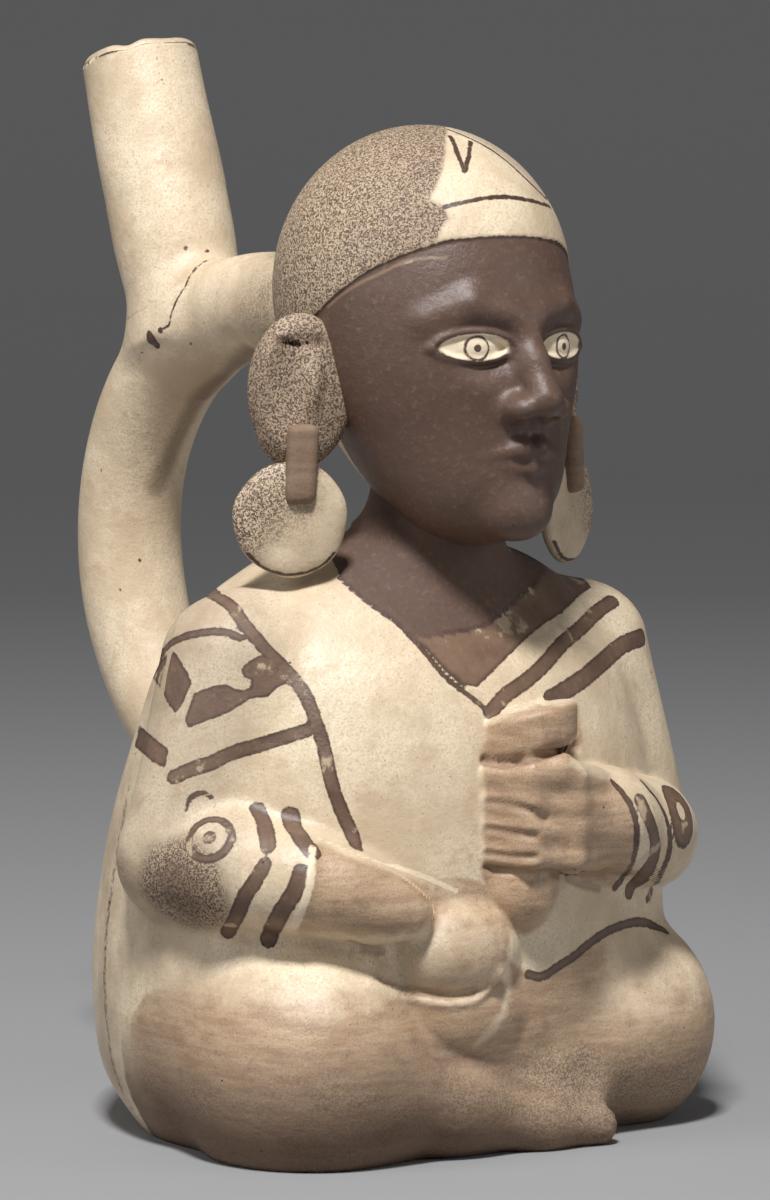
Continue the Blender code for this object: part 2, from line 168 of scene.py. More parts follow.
# The studio in metres: place and size of each light, the point they are aimed at, the surround's
# colour, and the profile of floor and backdrop as radius and height.
LIGHTS = {
    "key": ((-0.58, -0.55, 1.45), 0.25),
    "fill": ((0.75, -1.1, 0.45), 0.7),
    "side": ((-1.25, 0.2, 0.75), 0.5),
}
LIGHT_AIM = (0.0, 0.0, 0.11)
SKY_COLOUR = (0.9, 0.92, 0.95, 1.0)
PAPER_ROUGHNESS = 0.95
PAPER_PROFILE = ((0.5, 0.0), (1.0, 0.0), (1.5, 0.0), (1.9, 0.03), (2.2, 0.12), (2.45, 0.3), (2.6, 0.55),
                 (2.68, 0.85), (2.7, 1.2), (2.7, 1.6))


def smooth_curve(at, knots, values):
    """A smooth line through the knots: cubic between each two, with the mean slope at each."""
    knots = np.asarray(knots, float)
    values = np.asarray(values, float)
    slopes = np.gradient(values, knots)
    at = np.clip(at, knots[0], knots[-1])
    i = np.clip(np.searchsorted(knots, at, side="right") - 1, 0, len(knots) - 2)
    span = knots[i + 1] - knots[i]
    t = (at - knots[i]) / span
    start = values[i] * (1 + 2 * t) * (1 - t) ** 2 + slopes[i] * span * t * (1 - t) ** 2
    end = values[i + 1] * t * t * (3 - 2 * t) + slopes[i + 1] * span * t * t * (t - 1)
    return start + end


def angles_round(count):
    """Equal angles round a circle."""
    return 2.0 * math.pi * np.arange(count) / count


def most(*values):
    """The largest of several values at each point."""
    return functools.reduce(np.maximum, values)


def least(*values):
    """The smallest of several values at each point."""
    return functools.reduce(np.minimum, values)


def eased(value, low, high):
    """0 at low and before, 1 at high and past it, t t (3 - 2 t) between; high may be the lower."""
    t = np.clip((value - low) / (high - low), 0.0, 1.0)
    return t * t * (3.0 - 2.0 * t)


def ellipsoid(p, centre, radii):
    """Distance to an ellipsoid, near enough close to it: k (k - 1) / |gradient of k|."""
    q = (p - np.asarray(centre)) / np.asarray(radii)
    k = np.linalg.norm(q, axis=-1)
    steepness = np.linalg.norm(q / np.asarray(radii), axis=-1)
    return k * (k - 1.0) / np.maximum(steepness, 1e-9)


def limb(p, start, end):
    """Distance to a round bar between two points (x, y, z, radius)."""
    start, end = np.asarray(start, float), np.asarray(end, float)
    way = end[:3] - start[:3]
    t = np.clip((p - start[:3]) @ way / (way @ way), 0.0, 1.0)
    across = np.linalg.norm(p - start[:3] - t[..., None] * way, axis=-1)
    return across - (start[3] + (end[3] - start[3]) * t)


def blend(a, b, softness):
    """Union of two forms with a fillet about as wide as the softness."""
    near = np.maximum(softness - np.abs(a - b), 0.0) / softness
    return np.minimum(a, b) - near * near * softness / 4.0


def carve(a, b, softness):
    """Form a with form b taken out, its edge eased by the softness."""
    return -blend(-a, b, softness)


def chain(p, line, softness=2.0):
    """A bar through several points: its stretches blended at their joints."""
    f = limb(p, line[0], line[1])
    for start, end in zip(line[1:-1], line[2:]):
        f = blend(f, limb(p, start, end), softness)
    return f


def reach_of(line):
    """Lowest and highest corner of the box round a bar through several points."""
    line = np.asarray(line, float)
    return (line[:, :3] - line[:, 3:]).min(axis=0), (line[:, :3] + line[:, 3:]).max(axis=0)


def changed_near(f, p, low, high, change, margin=7.0):
    """The field with a change worked out only for points in or near a box."""
    low, high = np.asarray(low, float) - margin, np.asarray(high, float) + margin
    near = np.flatnonzero(((p > low) & (p < high)).all(axis=-1))
    if len(near):
        f = f.copy()
        f[near] = change(f[near], p[near])
    return f


def rounded_drum(p, centre, radius, half_height, ease, lean):
    """Distance to an upright drum with eased edges that leans up towards the viewer's right."""
    q = p - np.asarray(centre)
    across = np.hypot(q[:, 0], q[:, 1]) - radius + ease
    rise = lean * (TO_RIGHT[0] * q[:, 0] + TO_RIGHT[1] * q[:, 1])
    along = np.abs(q[:, 2] - rise) - half_height + ease
    outside = np.hypot(np.maximum(across, 0.0), np.maximum(along, 0.0))
    return outside + np.minimum(np.maximum(across, along), 0.0) - ease


CHAMBER_HEIGHTS = np.linspace(CHAMBER[0][0], CHAMBER[-1][0], 600)
CHAMBER_OUTLINE = [smooth_curve(CHAMBER_HEIGHTS, np.array(CHAMBER)[:, 0], np.array(CHAMBER)[:, i])
                   for i in (1, 2, 3)]


def chamber(p):
    """The vessel's round chamber: an oval at each height, deeper to the back than to the front."""
    z = p[:, 2]
    half_width, front, back = (np.interp(z, CHAMBER_HEIGHTS, values) for values in CHAMBER_OUTLINE)
    depth = np.where(p[:, 1] < 0.0, front, back)
    k = np.sqrt((p[:, 0] / half_width) ** 2 + (p[:, 1] / depth) ** 2)
    slope = np.interp(z, (95.0, CHAMBER_HEIGHTS[-1]), (1.0, 0.45))
    f = (k - 1.0) * np.minimum(half_width, depth) * slope
    return np.maximum(f, np.maximum(z - CHAMBER_HEIGHTS[-1], CHAMBER_HEIGHTS[0] - z))


def legs(p):
    """Crossed legs: round knees, the near shin across the front and the far one behind it."""
    f = blend(ellipsoid(p, *KNEES[0]), chain(p, RIGHT_SHIN, 4.0), 5.0)
    far = blend(ellipsoid(p, *KNEES[1]), chain(p, LEFT_SHIN, 4.0), 6.0)
    far = blend(far, limb(p, *BEHIND_FOOT), 5.0)
    return blend(f, far, 0.8)


def lap(p):
    """The lap's cloth: an upper lobe and a lower one that comes out from under it."""
    f = ellipsoid(p, (-15.0, -35.0, 41.0), (14.5, 13.0, 11.4))
    lower = ellipsoid(p, (-12.5, -32.0, 29.0), (17.0, 14.0, 13.0))
    return blend(f, lower, 1.0)


def held_thing(p):
    """The thing at the chest: a low drum that leans, a stem and a ball below."""
    drum = rounded_drum(p, (0.6, -41.0, 84.0), 9.2, 4.2, 1.7, lean=0.2)
    f = blend(drum, limb(p, *HELD_STEM), 0.5)
    return blend(f, ellipsoid(p, (-2.0, -41.0, 52.5), (7.8, 8.2, 8.4)), 2.0)


def left_hand(p):
    """Four fingers laid round the stem from the back of the hand, and the thumb."""
    f = chain(p, LEFT_FOREARM, 4.0)
    for i in range(4):
        z = 75.0 - 5.2 * i
        f = blend(f, chain(p, ((-9.0, -41.5, z + 0.6, 2.4), (-5.0, -48.2, z + 0.3, 2.8),
                               (4.0, -50.0, z - 0.6, 2.8), (13.0, -45.5, z - 1.5, 2.6))), 3.0)
    thumb = ((11.0, -45.5, 73.0, 3.6), (1.0, -49.6, 76.6, 3.0), (-5.0, -48.4, 76.8, 2.6))
    return blend(f, chain(p, thumb), 1.6)


def right_hand(p):
    """The near forearm and a flat hand, squared off at the fingertips, that rests on the lap."""
    f = chain(p, RIGHT_FOREARM, 4.0)
    return blend(f, chain(p, RIGHT_HAND, 3.0), 3.0)


def plain_body(p):
    """The figure below the head, without ridges and grooves."""
    f = chamber(p)
    for arm in (RIGHT_UPPER_ARM, LEFT_UPPER_ARM):
        f = changed_near(f, p, *reach_of(arm), lambda f, p: blend(f, limb(p, *arm), 6.0))
    f = changed_near(f, p, *reach_of(NECK), lambda f, p: blend(f, limb(p, *NECK), 8.0), 9.0)
    f = changed_near(f, p, (-64, -47, -9), (59, 8, 45), lambda f, p: blend(f, legs(p), 3.0))
    f = changed_near(f, p, (-31, -49, 15), (6, -18, 54), lambda f, p: blend(f, lap(p), 1.2))
    f = changed_near(f, p, (-11, -52, 42), (12, -32, 91), lambda f, p: blend(f, held_thing(p), 1.2))
    f = changed_near(f, p, *reach_of(RIGHT_FOREARM + RIGHT_HAND), lambda f, p: blend(f, right_hand(p), 2.6))
    return changed_near(f, p, (-13, -55, 45), (65, 2, 82), lambda f, p: blend(f, left_hand(p), 1.5))


def body_form(p):
    """The figure below the head, with the ridges of its hems and the grooves of its folds."""
    f = plain_body(p)
    for line, radius in RIDGES:
        f = changed_near(f, p, line.min(axis=0), line.max(axis=0),
                         lambda f, p: blend(f, to_line(p, line) - radius, 1.6), 4.0)
    for line, radius in GROOVES:
        f = changed_near(f, p, line.min(axis=0), line.max(axis=0),
                         lambda f, p: carve(f, to_line(p, line) - radius, 0.7), 4.0)
    return np.maximum(f + uneven(p), -p[:, 2])


def uneven(p):
    """Slow dents of hand-modelled clay: a product of three sine waves, in steps."""
    return 0.35 * np.sin(p[:, 0] / 7.3 + 1.3) * np.sin(p[:, 1] / 8.9 + 0.7) * np.sin(p[:, 2] / 8.1)


def cap_edge(p):
    """Height of the cap's edge: it falls from the brow to the ears and on to the nape."""
    return np.interp(p[:, 1], CAP_EDGE[0], CAP_EDGE[1]) - 0.04 * np.maximum(p[:, 0], 0.0)


def skull(p):
    """Cap, cheeks and jaw as one smooth mass, the cap a little proud of the face."""
    f = ellipsoid(p, (0, -7, 171), (28.5, 31, 32))
    cap = np.maximum(f - 0.7, cap_edge(p) - p[:, 2])
    f = blend(f, ellipsoid(p, (0, -17, 153), (24.5, 25, 29)), 10.0)
    f = blend(f, ellipsoid(p, (0, -27, 132), (14, 13, 11)), 12.0)
    return blend(f, cap, 0.6)


def mirrored(p):
    """Points folded onto the left half, for forms that are the same on both sides."""
    return np.stack((np.abs(p[:, 0]), p[:, 1], p[:, 2]), axis=-1)


def eyes(p):
    """An eyeball on each side, turned a little outwards, between two lids that meet at the corners."""
    half = mirrored(p)
    q = half - np.array(EYE)
    depth = q[:, 1] - 0.36 * q[:, 0] - 0.02 * q[:, 0] ** 2
    turned = np.stack((q[:, 0], depth, q[:, 2]), axis=-1)
    ball = ellipsoid(turned, (0.0, 4.0, 0.0), (7.0, 4.6, 4.6))
    bend = 3.1 * np.sqrt(np.clip(1.0 - (q[:, 0] / 7.8) ** 2, 0.0, 1.0))
    past = np.maximum(np.abs(q[:, 0]) - 7.4, 0.0)
    out = np.hypot(depth - 0.3, past)
    upper = np.hypot(out, q[:, 2] - bend) - 1.05
    lower = np.hypot(out, q[:, 2] + 0.8 * bend) - 0.9
    return blend(ball, blend(upper, lower, 1.0), 0.7)


def nose(p):
    """A straight nose: a bridge that widens down to its tip, and a wing on each side."""
    half = mirrored(p)
    f = chain(half, ((0, -38.6, 165, 2.6), (0, -42.6, 157, 2.5), (0, -46.2, 149.5, 3.7)), 3.0)
    f = blend(f, ellipsoid(half, (4.3, -43.2, 147.8), (2.9, 4.4, 2.7)), 2.0)
    return carve(f, ellipsoid(half, (2.7, -44.8, 145.0), (1.3, 1.9, 1.2)), 0.8)


def lips(p):
    """Two closed lips, each a bar that thins towards the corners."""
    half = mirrored(p)
    upper = chain(half, ((0, -41.6, 139.2, 1.7), (2.2, -41.6, 139.7, 1.8), (9.4, -37.8, 138.0, 0.8)))
    lower = chain(half, ((0, -41.3, 136.0, 2.2), (8.4, -37.8, 137.2, 0.8)))
    return blend(upper, lower, 0.5)


def face_form(p):
    """The head with its calm, regular face."""
    half = mirrored(p)
    f = carve(skull(p), ellipsoid(half, (11.0, -45.0, 159.5), (8.8, 8.0, 6.2)), 4.0)
    f = blend(f, ellipsoid(half, (0, -38.0, 126.5), (7, 4.5, 5.0)), 5.0)
    brow = chain(half, ((3.5, -39.0, 166.2, 1.8), (11.0, -37.0, 168.2, 1.8), (18.5, -31.5, 165.0, 1.4)))
    f = blend(f, brow, 4.0)
    f = blend(f, eyes(p), 0.8)
    f = blend(f, nose(p), 3.0)
    f = carve(f, limb(half, (0, -44.2, 145.0, 1.6), (0, -43.0, 141.0, 1.4)), 1.6)
    return blend(f, lips(p), 1.2)


def spread(count, crowding):
    """Angles round the upright axis, crowded towards the front, which is at -Y."""
    t = angles_round(count)
    return t - crowding * np.sin(t) - math.pi / 2.0


def ray_surface(field, centre, grid, reach, crowding=0.0, rounds=0):
    """Points of a closed surface where a field's outermost wall crosses rays from a middle.

    Rays go out at an angle round the upright axis and a rise from straight down to straight up,
    t - 0.1 sin 2 t for even steps of t, which is a little closer at the middle than at the poles.
    Each is searched from outside inwards, then its crossing is halved down. Then, in each round,
    every point moves half way to the mean of its four neighbours and back along the surface's
    normal onto the wall, which spreads the points under overhangs.
    """
    columns, rows = grid
    angle = spread(columns, crowding)
    t = math.pi * (np.arange(1, rows) / rows - 0.5)
    rise = t - 0.1 * np.sin(2.0 * t)
    level = np.cos(rise)[:, None]
    ways = np.stack((level * np.cos(angle), level * np.sin(angle),
                     np.sin(rise)[:, None] + 0.0 * angle), axis=-1).reshape(-1, 3)
    ways = np.vstack((ways, ((0.0, 0.0, -1.0), (0.0, 0.0, 1.0))))
    centre = np.asarray(centre, float)
    stride = reach / 40.0
    outer = np.full(len(ways), float(reach))
    inner = np.zeros(len(ways))
    open_rays = np.arange(len(ways))
    for radius in np.arange(reach, 0.0, -stride):
        inside = field(centre + radius * ways[open_rays]) < 0.0
        inner[open_rays[inside]] = radius
        outer[open_rays[inside]] = radius + stride
        open_rays = open_rays[~inside]
    for _ in range(10):
        middle = (inner + outer) / 2.0
        inside = field(centre + middle[:, None] * ways) < 0.0
        inner = np.where(inside, middle, inner)
        outer = np.where(inside, outer, middle)
    points = centre + inner[:, None] * ways
    for _ in range(rounds):
        points = settled(points, columns, field)
    return points


def settled(points, columns, field):
    """One round of spreading: half way to the neighbours' mean, then back onto the field's wall."""
    body, poles = points[:-2].reshape(-1, columns, 3), points[-2:]
    below = np.concatenate((np.broadcast_to(poles[0], (1, columns, 3)), body[:-1]))
    above = np.concatenate((body[1:], np.broadcast_to(poles[1], (1, columns, 3))))
    mean = (np.roll(body, 1, 1) + np.roll(body, -1, 1) + below + above) / 4.0
    normal = np.cross(np.roll(body, -1, 1) - np.roll(body, 1, 1), above - below).reshape(-1, 3)
    normal /= np.maximum(np.linalg.norm(normal, axis=1), 1e-9)[:, None]
    moved = (0.5 * body + 0.5 * mean).reshape(-1, 3)
    reach = 0.08
    value = field(moved)
    steepness = (field(moved + reach * normal) - value) / reach
    back = np.clip(value / np.maximum(steepness, 0.4), -0.8, 0.8)
    return np.vstack((moved - back[:, None] * normal, poles))


def grid_faces(columns, rows):
    """Quads of a grid that closes round its columns, and triangles to a pole at each end."""
    j = np.arange(columns)
    k = (j + 1) % columns
    low = columns * np.arange(rows - 1)[:, None]
    quads = np.stack((low + j, low + k, low + columns + k, low + columns + j), axis=-1).reshape(-1, 4)
    last = (rows - 1) * columns
    bottom, top = rows * columns, rows * columns + 1
    lids = np.vstack((np.stack((0 * j + bottom, k, j), axis=-1),
                      np.stack((last + j, last + k, 0 * j + top), axis=-1)))
    return quads, lids


def new_piece(name, points, columns, material, marks):
    """A mesh piece from grid points in steps, smooth, with its painted marks as attributes."""
    rows = (len(points) - 2) // columns
    quads, lids = grid_faces(columns, rows)
    mesh = bpy.data.meshes.new(name)
    mesh.vertices.add(len(points))
    mesh.vertices.foreach_set("co", (points * STEP).ravel())
    corners = np.concatenate((quads.ravel(), lids.ravel()))
    starts = np.concatenate((4 * np.arange(len(quads)), 4 * len(quads) + 3 * np.arange(len(lids))))
    mesh.loops.add(len(corners))
    mesh.loops.foreach_set("vertex_index", corners)
    mesh.polygons.add(len(starts))
    mesh.polygons.foreach_set("loop_start", starts)
    mesh.update(calc_edges=True)
    mesh.validate()
    mesh.shade_smooth()
    for mark, values in marks.items():
        mesh.attributes.new(mark, "FLOAT", "POINT").data.foreach_set("value", values)
    mesh.materials.append(material)
    piece = bpy.data.objects.new(name, mesh)
    bpy.context.scene.collection.objects.link(piece)
    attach(piece, "root")
    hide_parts(NODE)
    return piece


# Painted lines, patches and folds, in pixels of the photograph's frame: a stroke is a line of
# points and its half width in steps, a patch is a closed outline. Some of them stand for painted
# shade or a painted highlight, as noted at each.
DARK_STROKES = (
    (((205, 591), (229, 604), (244, 624), (257, 640), (275, 659), (293, 678), (307, 699), (317, 726),
      (325, 753), (331, 782), (340, 809), (350, 831), (357, 850)), 1.45),
    (((157, 662), (168, 646), (181, 638), (202, 633), (224, 632), (240, 638)), 0.9),
    (((173, 778), (197, 768), (213, 763), (224, 757), (240, 751), (261, 745), (283, 738), (306, 731)), 1.5),
    (((257, 811), (261, 818), (265, 831), (268, 848)), 1.7),
    (((264, 866), (256, 881), (245, 897), (237, 916), (227, 935)), 1.6),
    (((290, 817), (294, 831), (304, 844), (312, 854)), 1.9),
    (((301, 874), (295, 892), (283, 911), (272, 932), (268, 942)), 1.8),
    (((184, 812), (190, 798), (205, 793), (213, 800), (215, 812)), 0.5),
    # The next five lines are painted shade: in the far hand's finger grooves, under the held drum and in the
    # near hand's fold.
    (((488, 803), (515, 807), (533, 813), (547, 820)), 0.35),
    (((488, 830), (511, 834), (536, 838)), 0.35),
    (((488, 855), (513, 859), (536, 859)), 0.35),
    (((488, 761), (504, 765), (528, 760), (553, 754), (575, 747)), 0.55),
    (((350, 944), (361, 950), (381, 954)), 0.4),
    (((613, 783), (625, 797), (634, 815), (637, 835), (634, 858), (626, 878), (615, 890)), 0.8),
    (((641, 803), (652, 830), (655, 853), (647, 873), (630, 893)), 1.8),
    (((642, 783), (659, 805), (669, 830), (670, 853), (661, 878), (648, 902)), 0.8),
    (((528, 977), (541, 980), (555, 971), (577, 957), (597, 941), (617, 930), (642, 924), (667, 933)), 1.0),
    (((490, 714), (504, 697), (524, 683), (545, 664), (562, 644), (582, 627), (599, 610), (613, 601)), 1.6),
    (((550, 700), (570, 688), (587, 676), (606, 659), (625, 644), (643, 637)), 1.9),
    (((344, 571), (364, 584), (383, 594), (402, 602), (422, 611), (436, 620), (448, 627), (465, 627),
      (485, 620), (499, 610), (514, 597), (526, 584), (533, 569)), 0.65),
    (((340, 577), (356, 592), (376, 608), (395, 621), (410, 636), (427, 656), (446, 678), (458, 688),
      (477, 702), (488, 712)), 0.6),
    (((346, 577), (362, 590), (382, 605), (401, 618), (416, 633), (432, 652), (451, 674), (464, 685)), 0.5),
)
# A pale line at the near wrist, and a painted highlight along the tunic's edge above the near forearm.
PALE_LINE_AND_HIGHLIGHT_STROKES = (
    (((312, 850), (310, 881), (302, 911), (294, 928)), 0.9),
    (((318, 840), (345, 850), (375, 862), (421, 877), (456, 893)), 0.5),
)
# A painted highlight along the cap's edge, where the face's dark slip is lightened.
CAP_EDGE_HIGHLIGHT_STROKES = ((((328, 307), (352, 288), (378, 275), (410, 261), (447, 258)), 0.3),)
CAP_STROKES = (
    (((450, 138), (458, 157), (464, 173)), 0.5),
    (((470, 143), (468, 159), (464, 173)), 0.5),
    (((447, 131), (467, 139), (490, 151), (511, 167), (529, 184), (545, 200), (551, 207)), 0.4),
    (((444, 208), (460, 204), (479, 200), (502, 198), (522, 200), (538, 204), (549, 208)), 0.5),
)
DARK_PATCHES = (
    ((152, 678), (160, 660), (174, 651), (184, 667), (192, 683), (182, 705), (176, 715), (168, 705),
     (160, 688)),
    ((194, 693), (208, 688), (224, 684), (240, 691), (251, 688), (251, 680), (243, 678), (241, 668),
     (248, 662), (261, 654), (272, 659), (283, 675), (288, 683), (277, 688), (269, 697), (251, 699),
     (229, 713), (208, 721), (188, 729), (184, 721)),
    ((139, 726), (152, 737), (168, 750), (165, 770), (152, 763), (134, 747)),
)
COLLAR = ((407, 622), (436, 630), (448, 631), (465, 630), (487, 624), (504, 611), (521, 594), (536, 581),
          (543, 564), (553, 559), (567, 569), (587, 581), (591, 587), (577, 598), (562, 613), (543, 625),
          (526, 639), (509, 656), (494, 671), (477, 688), (463, 685), (440, 665), (425, 648), (410, 637))
# The neck's dark slip, drawn round the deep shadow under the jaw and the disc: dark slip and painted shadow
# in one.
NECK_SLIP_AND_SHADOW = ((300, 470), (322, 540), (335, 565), (340, 577), (356, 592), (376, 608), (395, 621), (410, 636),
              (440, 634), (465, 630), (487, 624), (504, 611), (521, 594), (536, 581), (560, 540), (560, 470))
SKIN_PATCHES = (
    ((60, 1045), (120, 1040), (130, 1010), (145, 995), (160, 985), (200, 978), (240, 975), (290, 980),
     (345, 993), (359, 1008), (387, 1030), (415, 1049), (437, 1058), (465, 1057), (478, 1050), (495, 1036),
     (507, 1017), (512, 993), (511, 965), (528, 977), (541, 980), (555, 971), (577, 957), (597, 941),
     (617, 930), (642, 924), (667, 933), (690, 945), (770, 980), (770, 1200), (60, 1200)),
    ((350, 992), (370, 991), (398, 1002), (426, 1007), (454, 1010), (476, 1006), (490, 994), (500, 980),
     (506, 990), (501, 1015), (490, 1033), (474, 1048), (465, 1056), (437, 1056), (415, 1047), (387, 1028),
     (359, 1006)),
    ((316, 846), (345, 856), (375, 867), (400, 876), (428, 886), (435, 896), (431, 918), (419, 943),
     (404, 960), (390, 972), (372, 978), (345, 971), (318, 957), (295, 938), (304, 911), (312, 881)),
    ((485, 800), (484, 765), (485, 727), (509, 717), (528, 711), (545, 706), (578, 704), (582, 746),
     (571, 757), (571, 765), (587, 777), (612, 783), (625, 797), (636, 819), (640, 836), (634, 858),
     (626, 878), (611, 890), (577, 880), (561, 875), (557, 905), (545, 925), (525, 937), (505, 931),
     (490, 905), (484, 870)),
)
LAP_PATCH = ((434, 882), (456, 878), (480, 886), (500, 905), (510, 935), (508, 962), (495, 988), (476, 1001),
             (454, 1006), (426, 1003), (398, 997), (370, 986), (390, 974), (419, 946), (433, 918))
CAP_MOTTLE = ((448, 100), (444, 150), (442, 170), (435, 187), (428, 198), (430, 203), (442, 208),
              (447, 219), (440, 228), (435, 242), (400, 262), (300, 345), (150, 345), (150, 100))
CAP_GREY = ((447, 131), (467, 139), (490, 151), (511, 167), (529, 184), (545, 200), (552, 208), (640, 208),
            (640, 100), (447, 100))
ELBOW_EYES = ((208, 838), (682, 812))
ELBOW_BLOTCH = (178, 893)
SEAM_PIXEL = (103, 980)
FOLD_RIDGES = (
    (((370, 988), (398, 999), (426, 1004), (454, 1007), (476, 1003), (490, 991), (500, 975)), 0.75),
    (((312, 850), (310, 881), (302, 911), (294, 928)), 0.3),
)
FOLD_GROOVES = (
    (((376, 980), (398, 990), (426, 995), (454, 998), (474, 994)), 0.5),
    (((488, 803), (515, 807), (533, 813), (547, 820)), 0.7),
    (((488, 830), (511, 834), (536, 838)), 0.7),
    (((488, 855), (513, 859), (536, 859)), 0.7),
    (((486, 761), (504, 765), (528, 760), (553, 754), (576, 747)), 1.1),
    (((487, 869), (508, 872), (538, 874), (561, 876), (577, 884), (600, 890)), 0.6),
    (((350, 944), (361, 950), (381, 954)), 0.7),
)
# Painted shade along the crease between the crossed legs.
LEG_CREASE_SHADE = (((415, 1047), (437, 1056), (465, 1062), (488, 1071), (516, 1084), (544, 1095),
               (566, 1101)), 0.2)
TUBE_CRACK = (((215, 259), (204, 263), (192, 275), (186, 287), (177, 301), (172, 314), (168, 328),
               (161, 331)), 0.3)
TUBE_BAND = (((252, 352), (232, 370), (208, 391), (192, 412), (180, 436), (169, 462), (158, 486)), 1.0)
# The first of the spots lies at the spout's foot, with mottle about it.
TUBE_SPOTS = (((152, 340), 1.3), ((157, 345), 1.0), ((187, 249), 0.6), ((208, 252), 0.5), ((191, 344), 0.4),
              ((150, 334), 0.8), ((161, 331), 0.7), ((172, 112), 0.25), ((192, 192), 0.3), ((158, 61), 0.35),
              ((163, 82), 0.25), ((186, 165), 0.25), ((140, 560), 0.4), ((120, 590), 0.3), ((101, 470), 0.35))


def rays_through(pixels):
    """Camera place and the ways of rays through pixels: forward plus shares of right and up."""
    eye = VIEW_DISTANCE * TO_CAMERA + VIEW_HEIGHT * UP
    shares = (np.asarray(pixels, float) - np.asarray(AXIS_PIXEL)) / FOCAL_PIXELS
    return eye, -TO_CAMERA + shares[:, :1] * TO_RIGHT - shares[:, 1:] * UP


def on_form(field, pixels):
    """Points where the photograph's rays through pixels first meet a form, by short strides in."""
    eye, ways = rays_through(pixels)
    reach = np.full(len(ways), VIEW_DISTANCE - 140.0)
    for _ in range(160):
        value = field(eye + reach[:, None] * ways)
        reach = reach + np.clip(0.8 * value, -1.0, 4.0)
    return eye + reach[:, None] * ways


def in_picture(p):
    """Pixels of the photograph's frame at which points are seen."""
    depth = VIEW_DISTANCE - p @ TO_CAMERA
    across = AXIS_PIXEL[0] + FOCAL_PIXELS * (p @ TO_RIGHT) / depth
    down = AXIS_PIXEL[1] + FOCAL_PIXELS * (VIEW_HEIGHT - p[:, 2]) / depth
    return np.stack((across, down), axis=-1)


def to_line(p, line):
    """Distance from points to a line through several points."""
    best = np.full(len(p), 1e9)
    for start, end in zip(line[:-1], line[1:]):
        way = end - start
        t = np.clip((p - start) @ way / max(way @ way, 1e-9), 0.0, 1.0)
        best = np.minimum(best, np.linalg.norm(p - start - t[:, None] * way, axis=-1))
    return best


def inside_outline(p, outline):
    """Signed distance in steps to a closed outline in the picture, below 0 inside it."""
    steps_per_pixel = VIEW_DISTANCE / FOCAL_PIXELS
    seen = in_picture(p)
    ring = np.asarray(outline + outline[:1], float)
    crossings = np.zeros(len(p), bool)
    for (x0, y0), (x1, y1) in zip(ring[:-1], ring[1:]):
        spans = (y0 > seen[:, 1]) != (y1 > seen[:, 1])
        at = x0 + (x1 - x0) * (seen[:, 1] - y0) / (y1 - y0 if y1 != y0 else 1e-9)
        crossings ^= spans & (seen[:, 0] < at)
    return np.where(crossings, -1.0, 1.0) * to_line(seen, ring) * steps_per_pixel


def smooth_line(pixels, spacing=9.0):
    """Picture points about a spacing apart along a smooth line through the given ones."""
    pixels = np.asarray(pixels, float)
    along = np.concatenate(((0.0,), np.cumsum(np.linalg.norm(np.diff(pixels, axis=0), axis=1))))
    at = np.linspace(0.0, along[-1], max(int(along[-1] / spacing), 3))
    return np.stack([smooth_curve(at, along, pixels[:, i]) for i in (0, 1)], axis=-1)


def laid_on(field, strokes):
    """Strokes as (line of points on the form, half width), all found in one march of rays."""
    lines = [smooth_line(points) for points, _ in strokes]
    ends = np.cumsum([len(line) for line in lines])[:-1]
    places = np.split(on_form(field, np.vstack(lines)), ends)
    return [(place, width) for place, (_, width) in zip(places, strokes)]


def painted(p, strokes):
    """Signed distance to strokes that lie on the form, below 0 under the brush."""
    best = np.full(len(p), 9.0)
    for line, width in strokes:
        best = changed_near(best, p, line.min(axis=0), line.max(axis=0),
                            lambda f, p: np.minimum(f, to_line(p, line) - width), 9.0)
    return best


def facing_camera(field, p, reach=0.05):
    """Which points face the photograph's camera, by the field's rise over small moves."""
    value = field(p)
    gradient = np.stack([field(p + reach * axis) - value for axis in np.eye(3)], axis=-1) / reach
    return gradient @ TO_CAMERA > 0.0


def patched(p, facing, outlines):
    """Signed distance to the nearest of several patches, on the side that faces the camera."""
    best = np.full(len(p), 9.0)
    for outline in outlines:
        best[facing] = np.minimum(best[facing], inside_outline(p[facing], outline))
    return best


def marks_of(p, **given):
    """A piece's painted marks: signed distances to slips, and shares of soft effects."""
    marks = {"dark": 9.0, "pale": 9.0, "tan": 9.0, "speckle": 0.0, "rubbed": 0.0, "soot": 0.0,
             "bare": 0.0, **given}
    return {name: np.broadcast_to(np.asarray(values, float), len(p)).copy()
            for name, values in marks.items()}


RIDGES = laid_on(plain_body, FOLD_RIDGES)
GROOVES = laid_on(plain_body, FOLD_GROOVES)


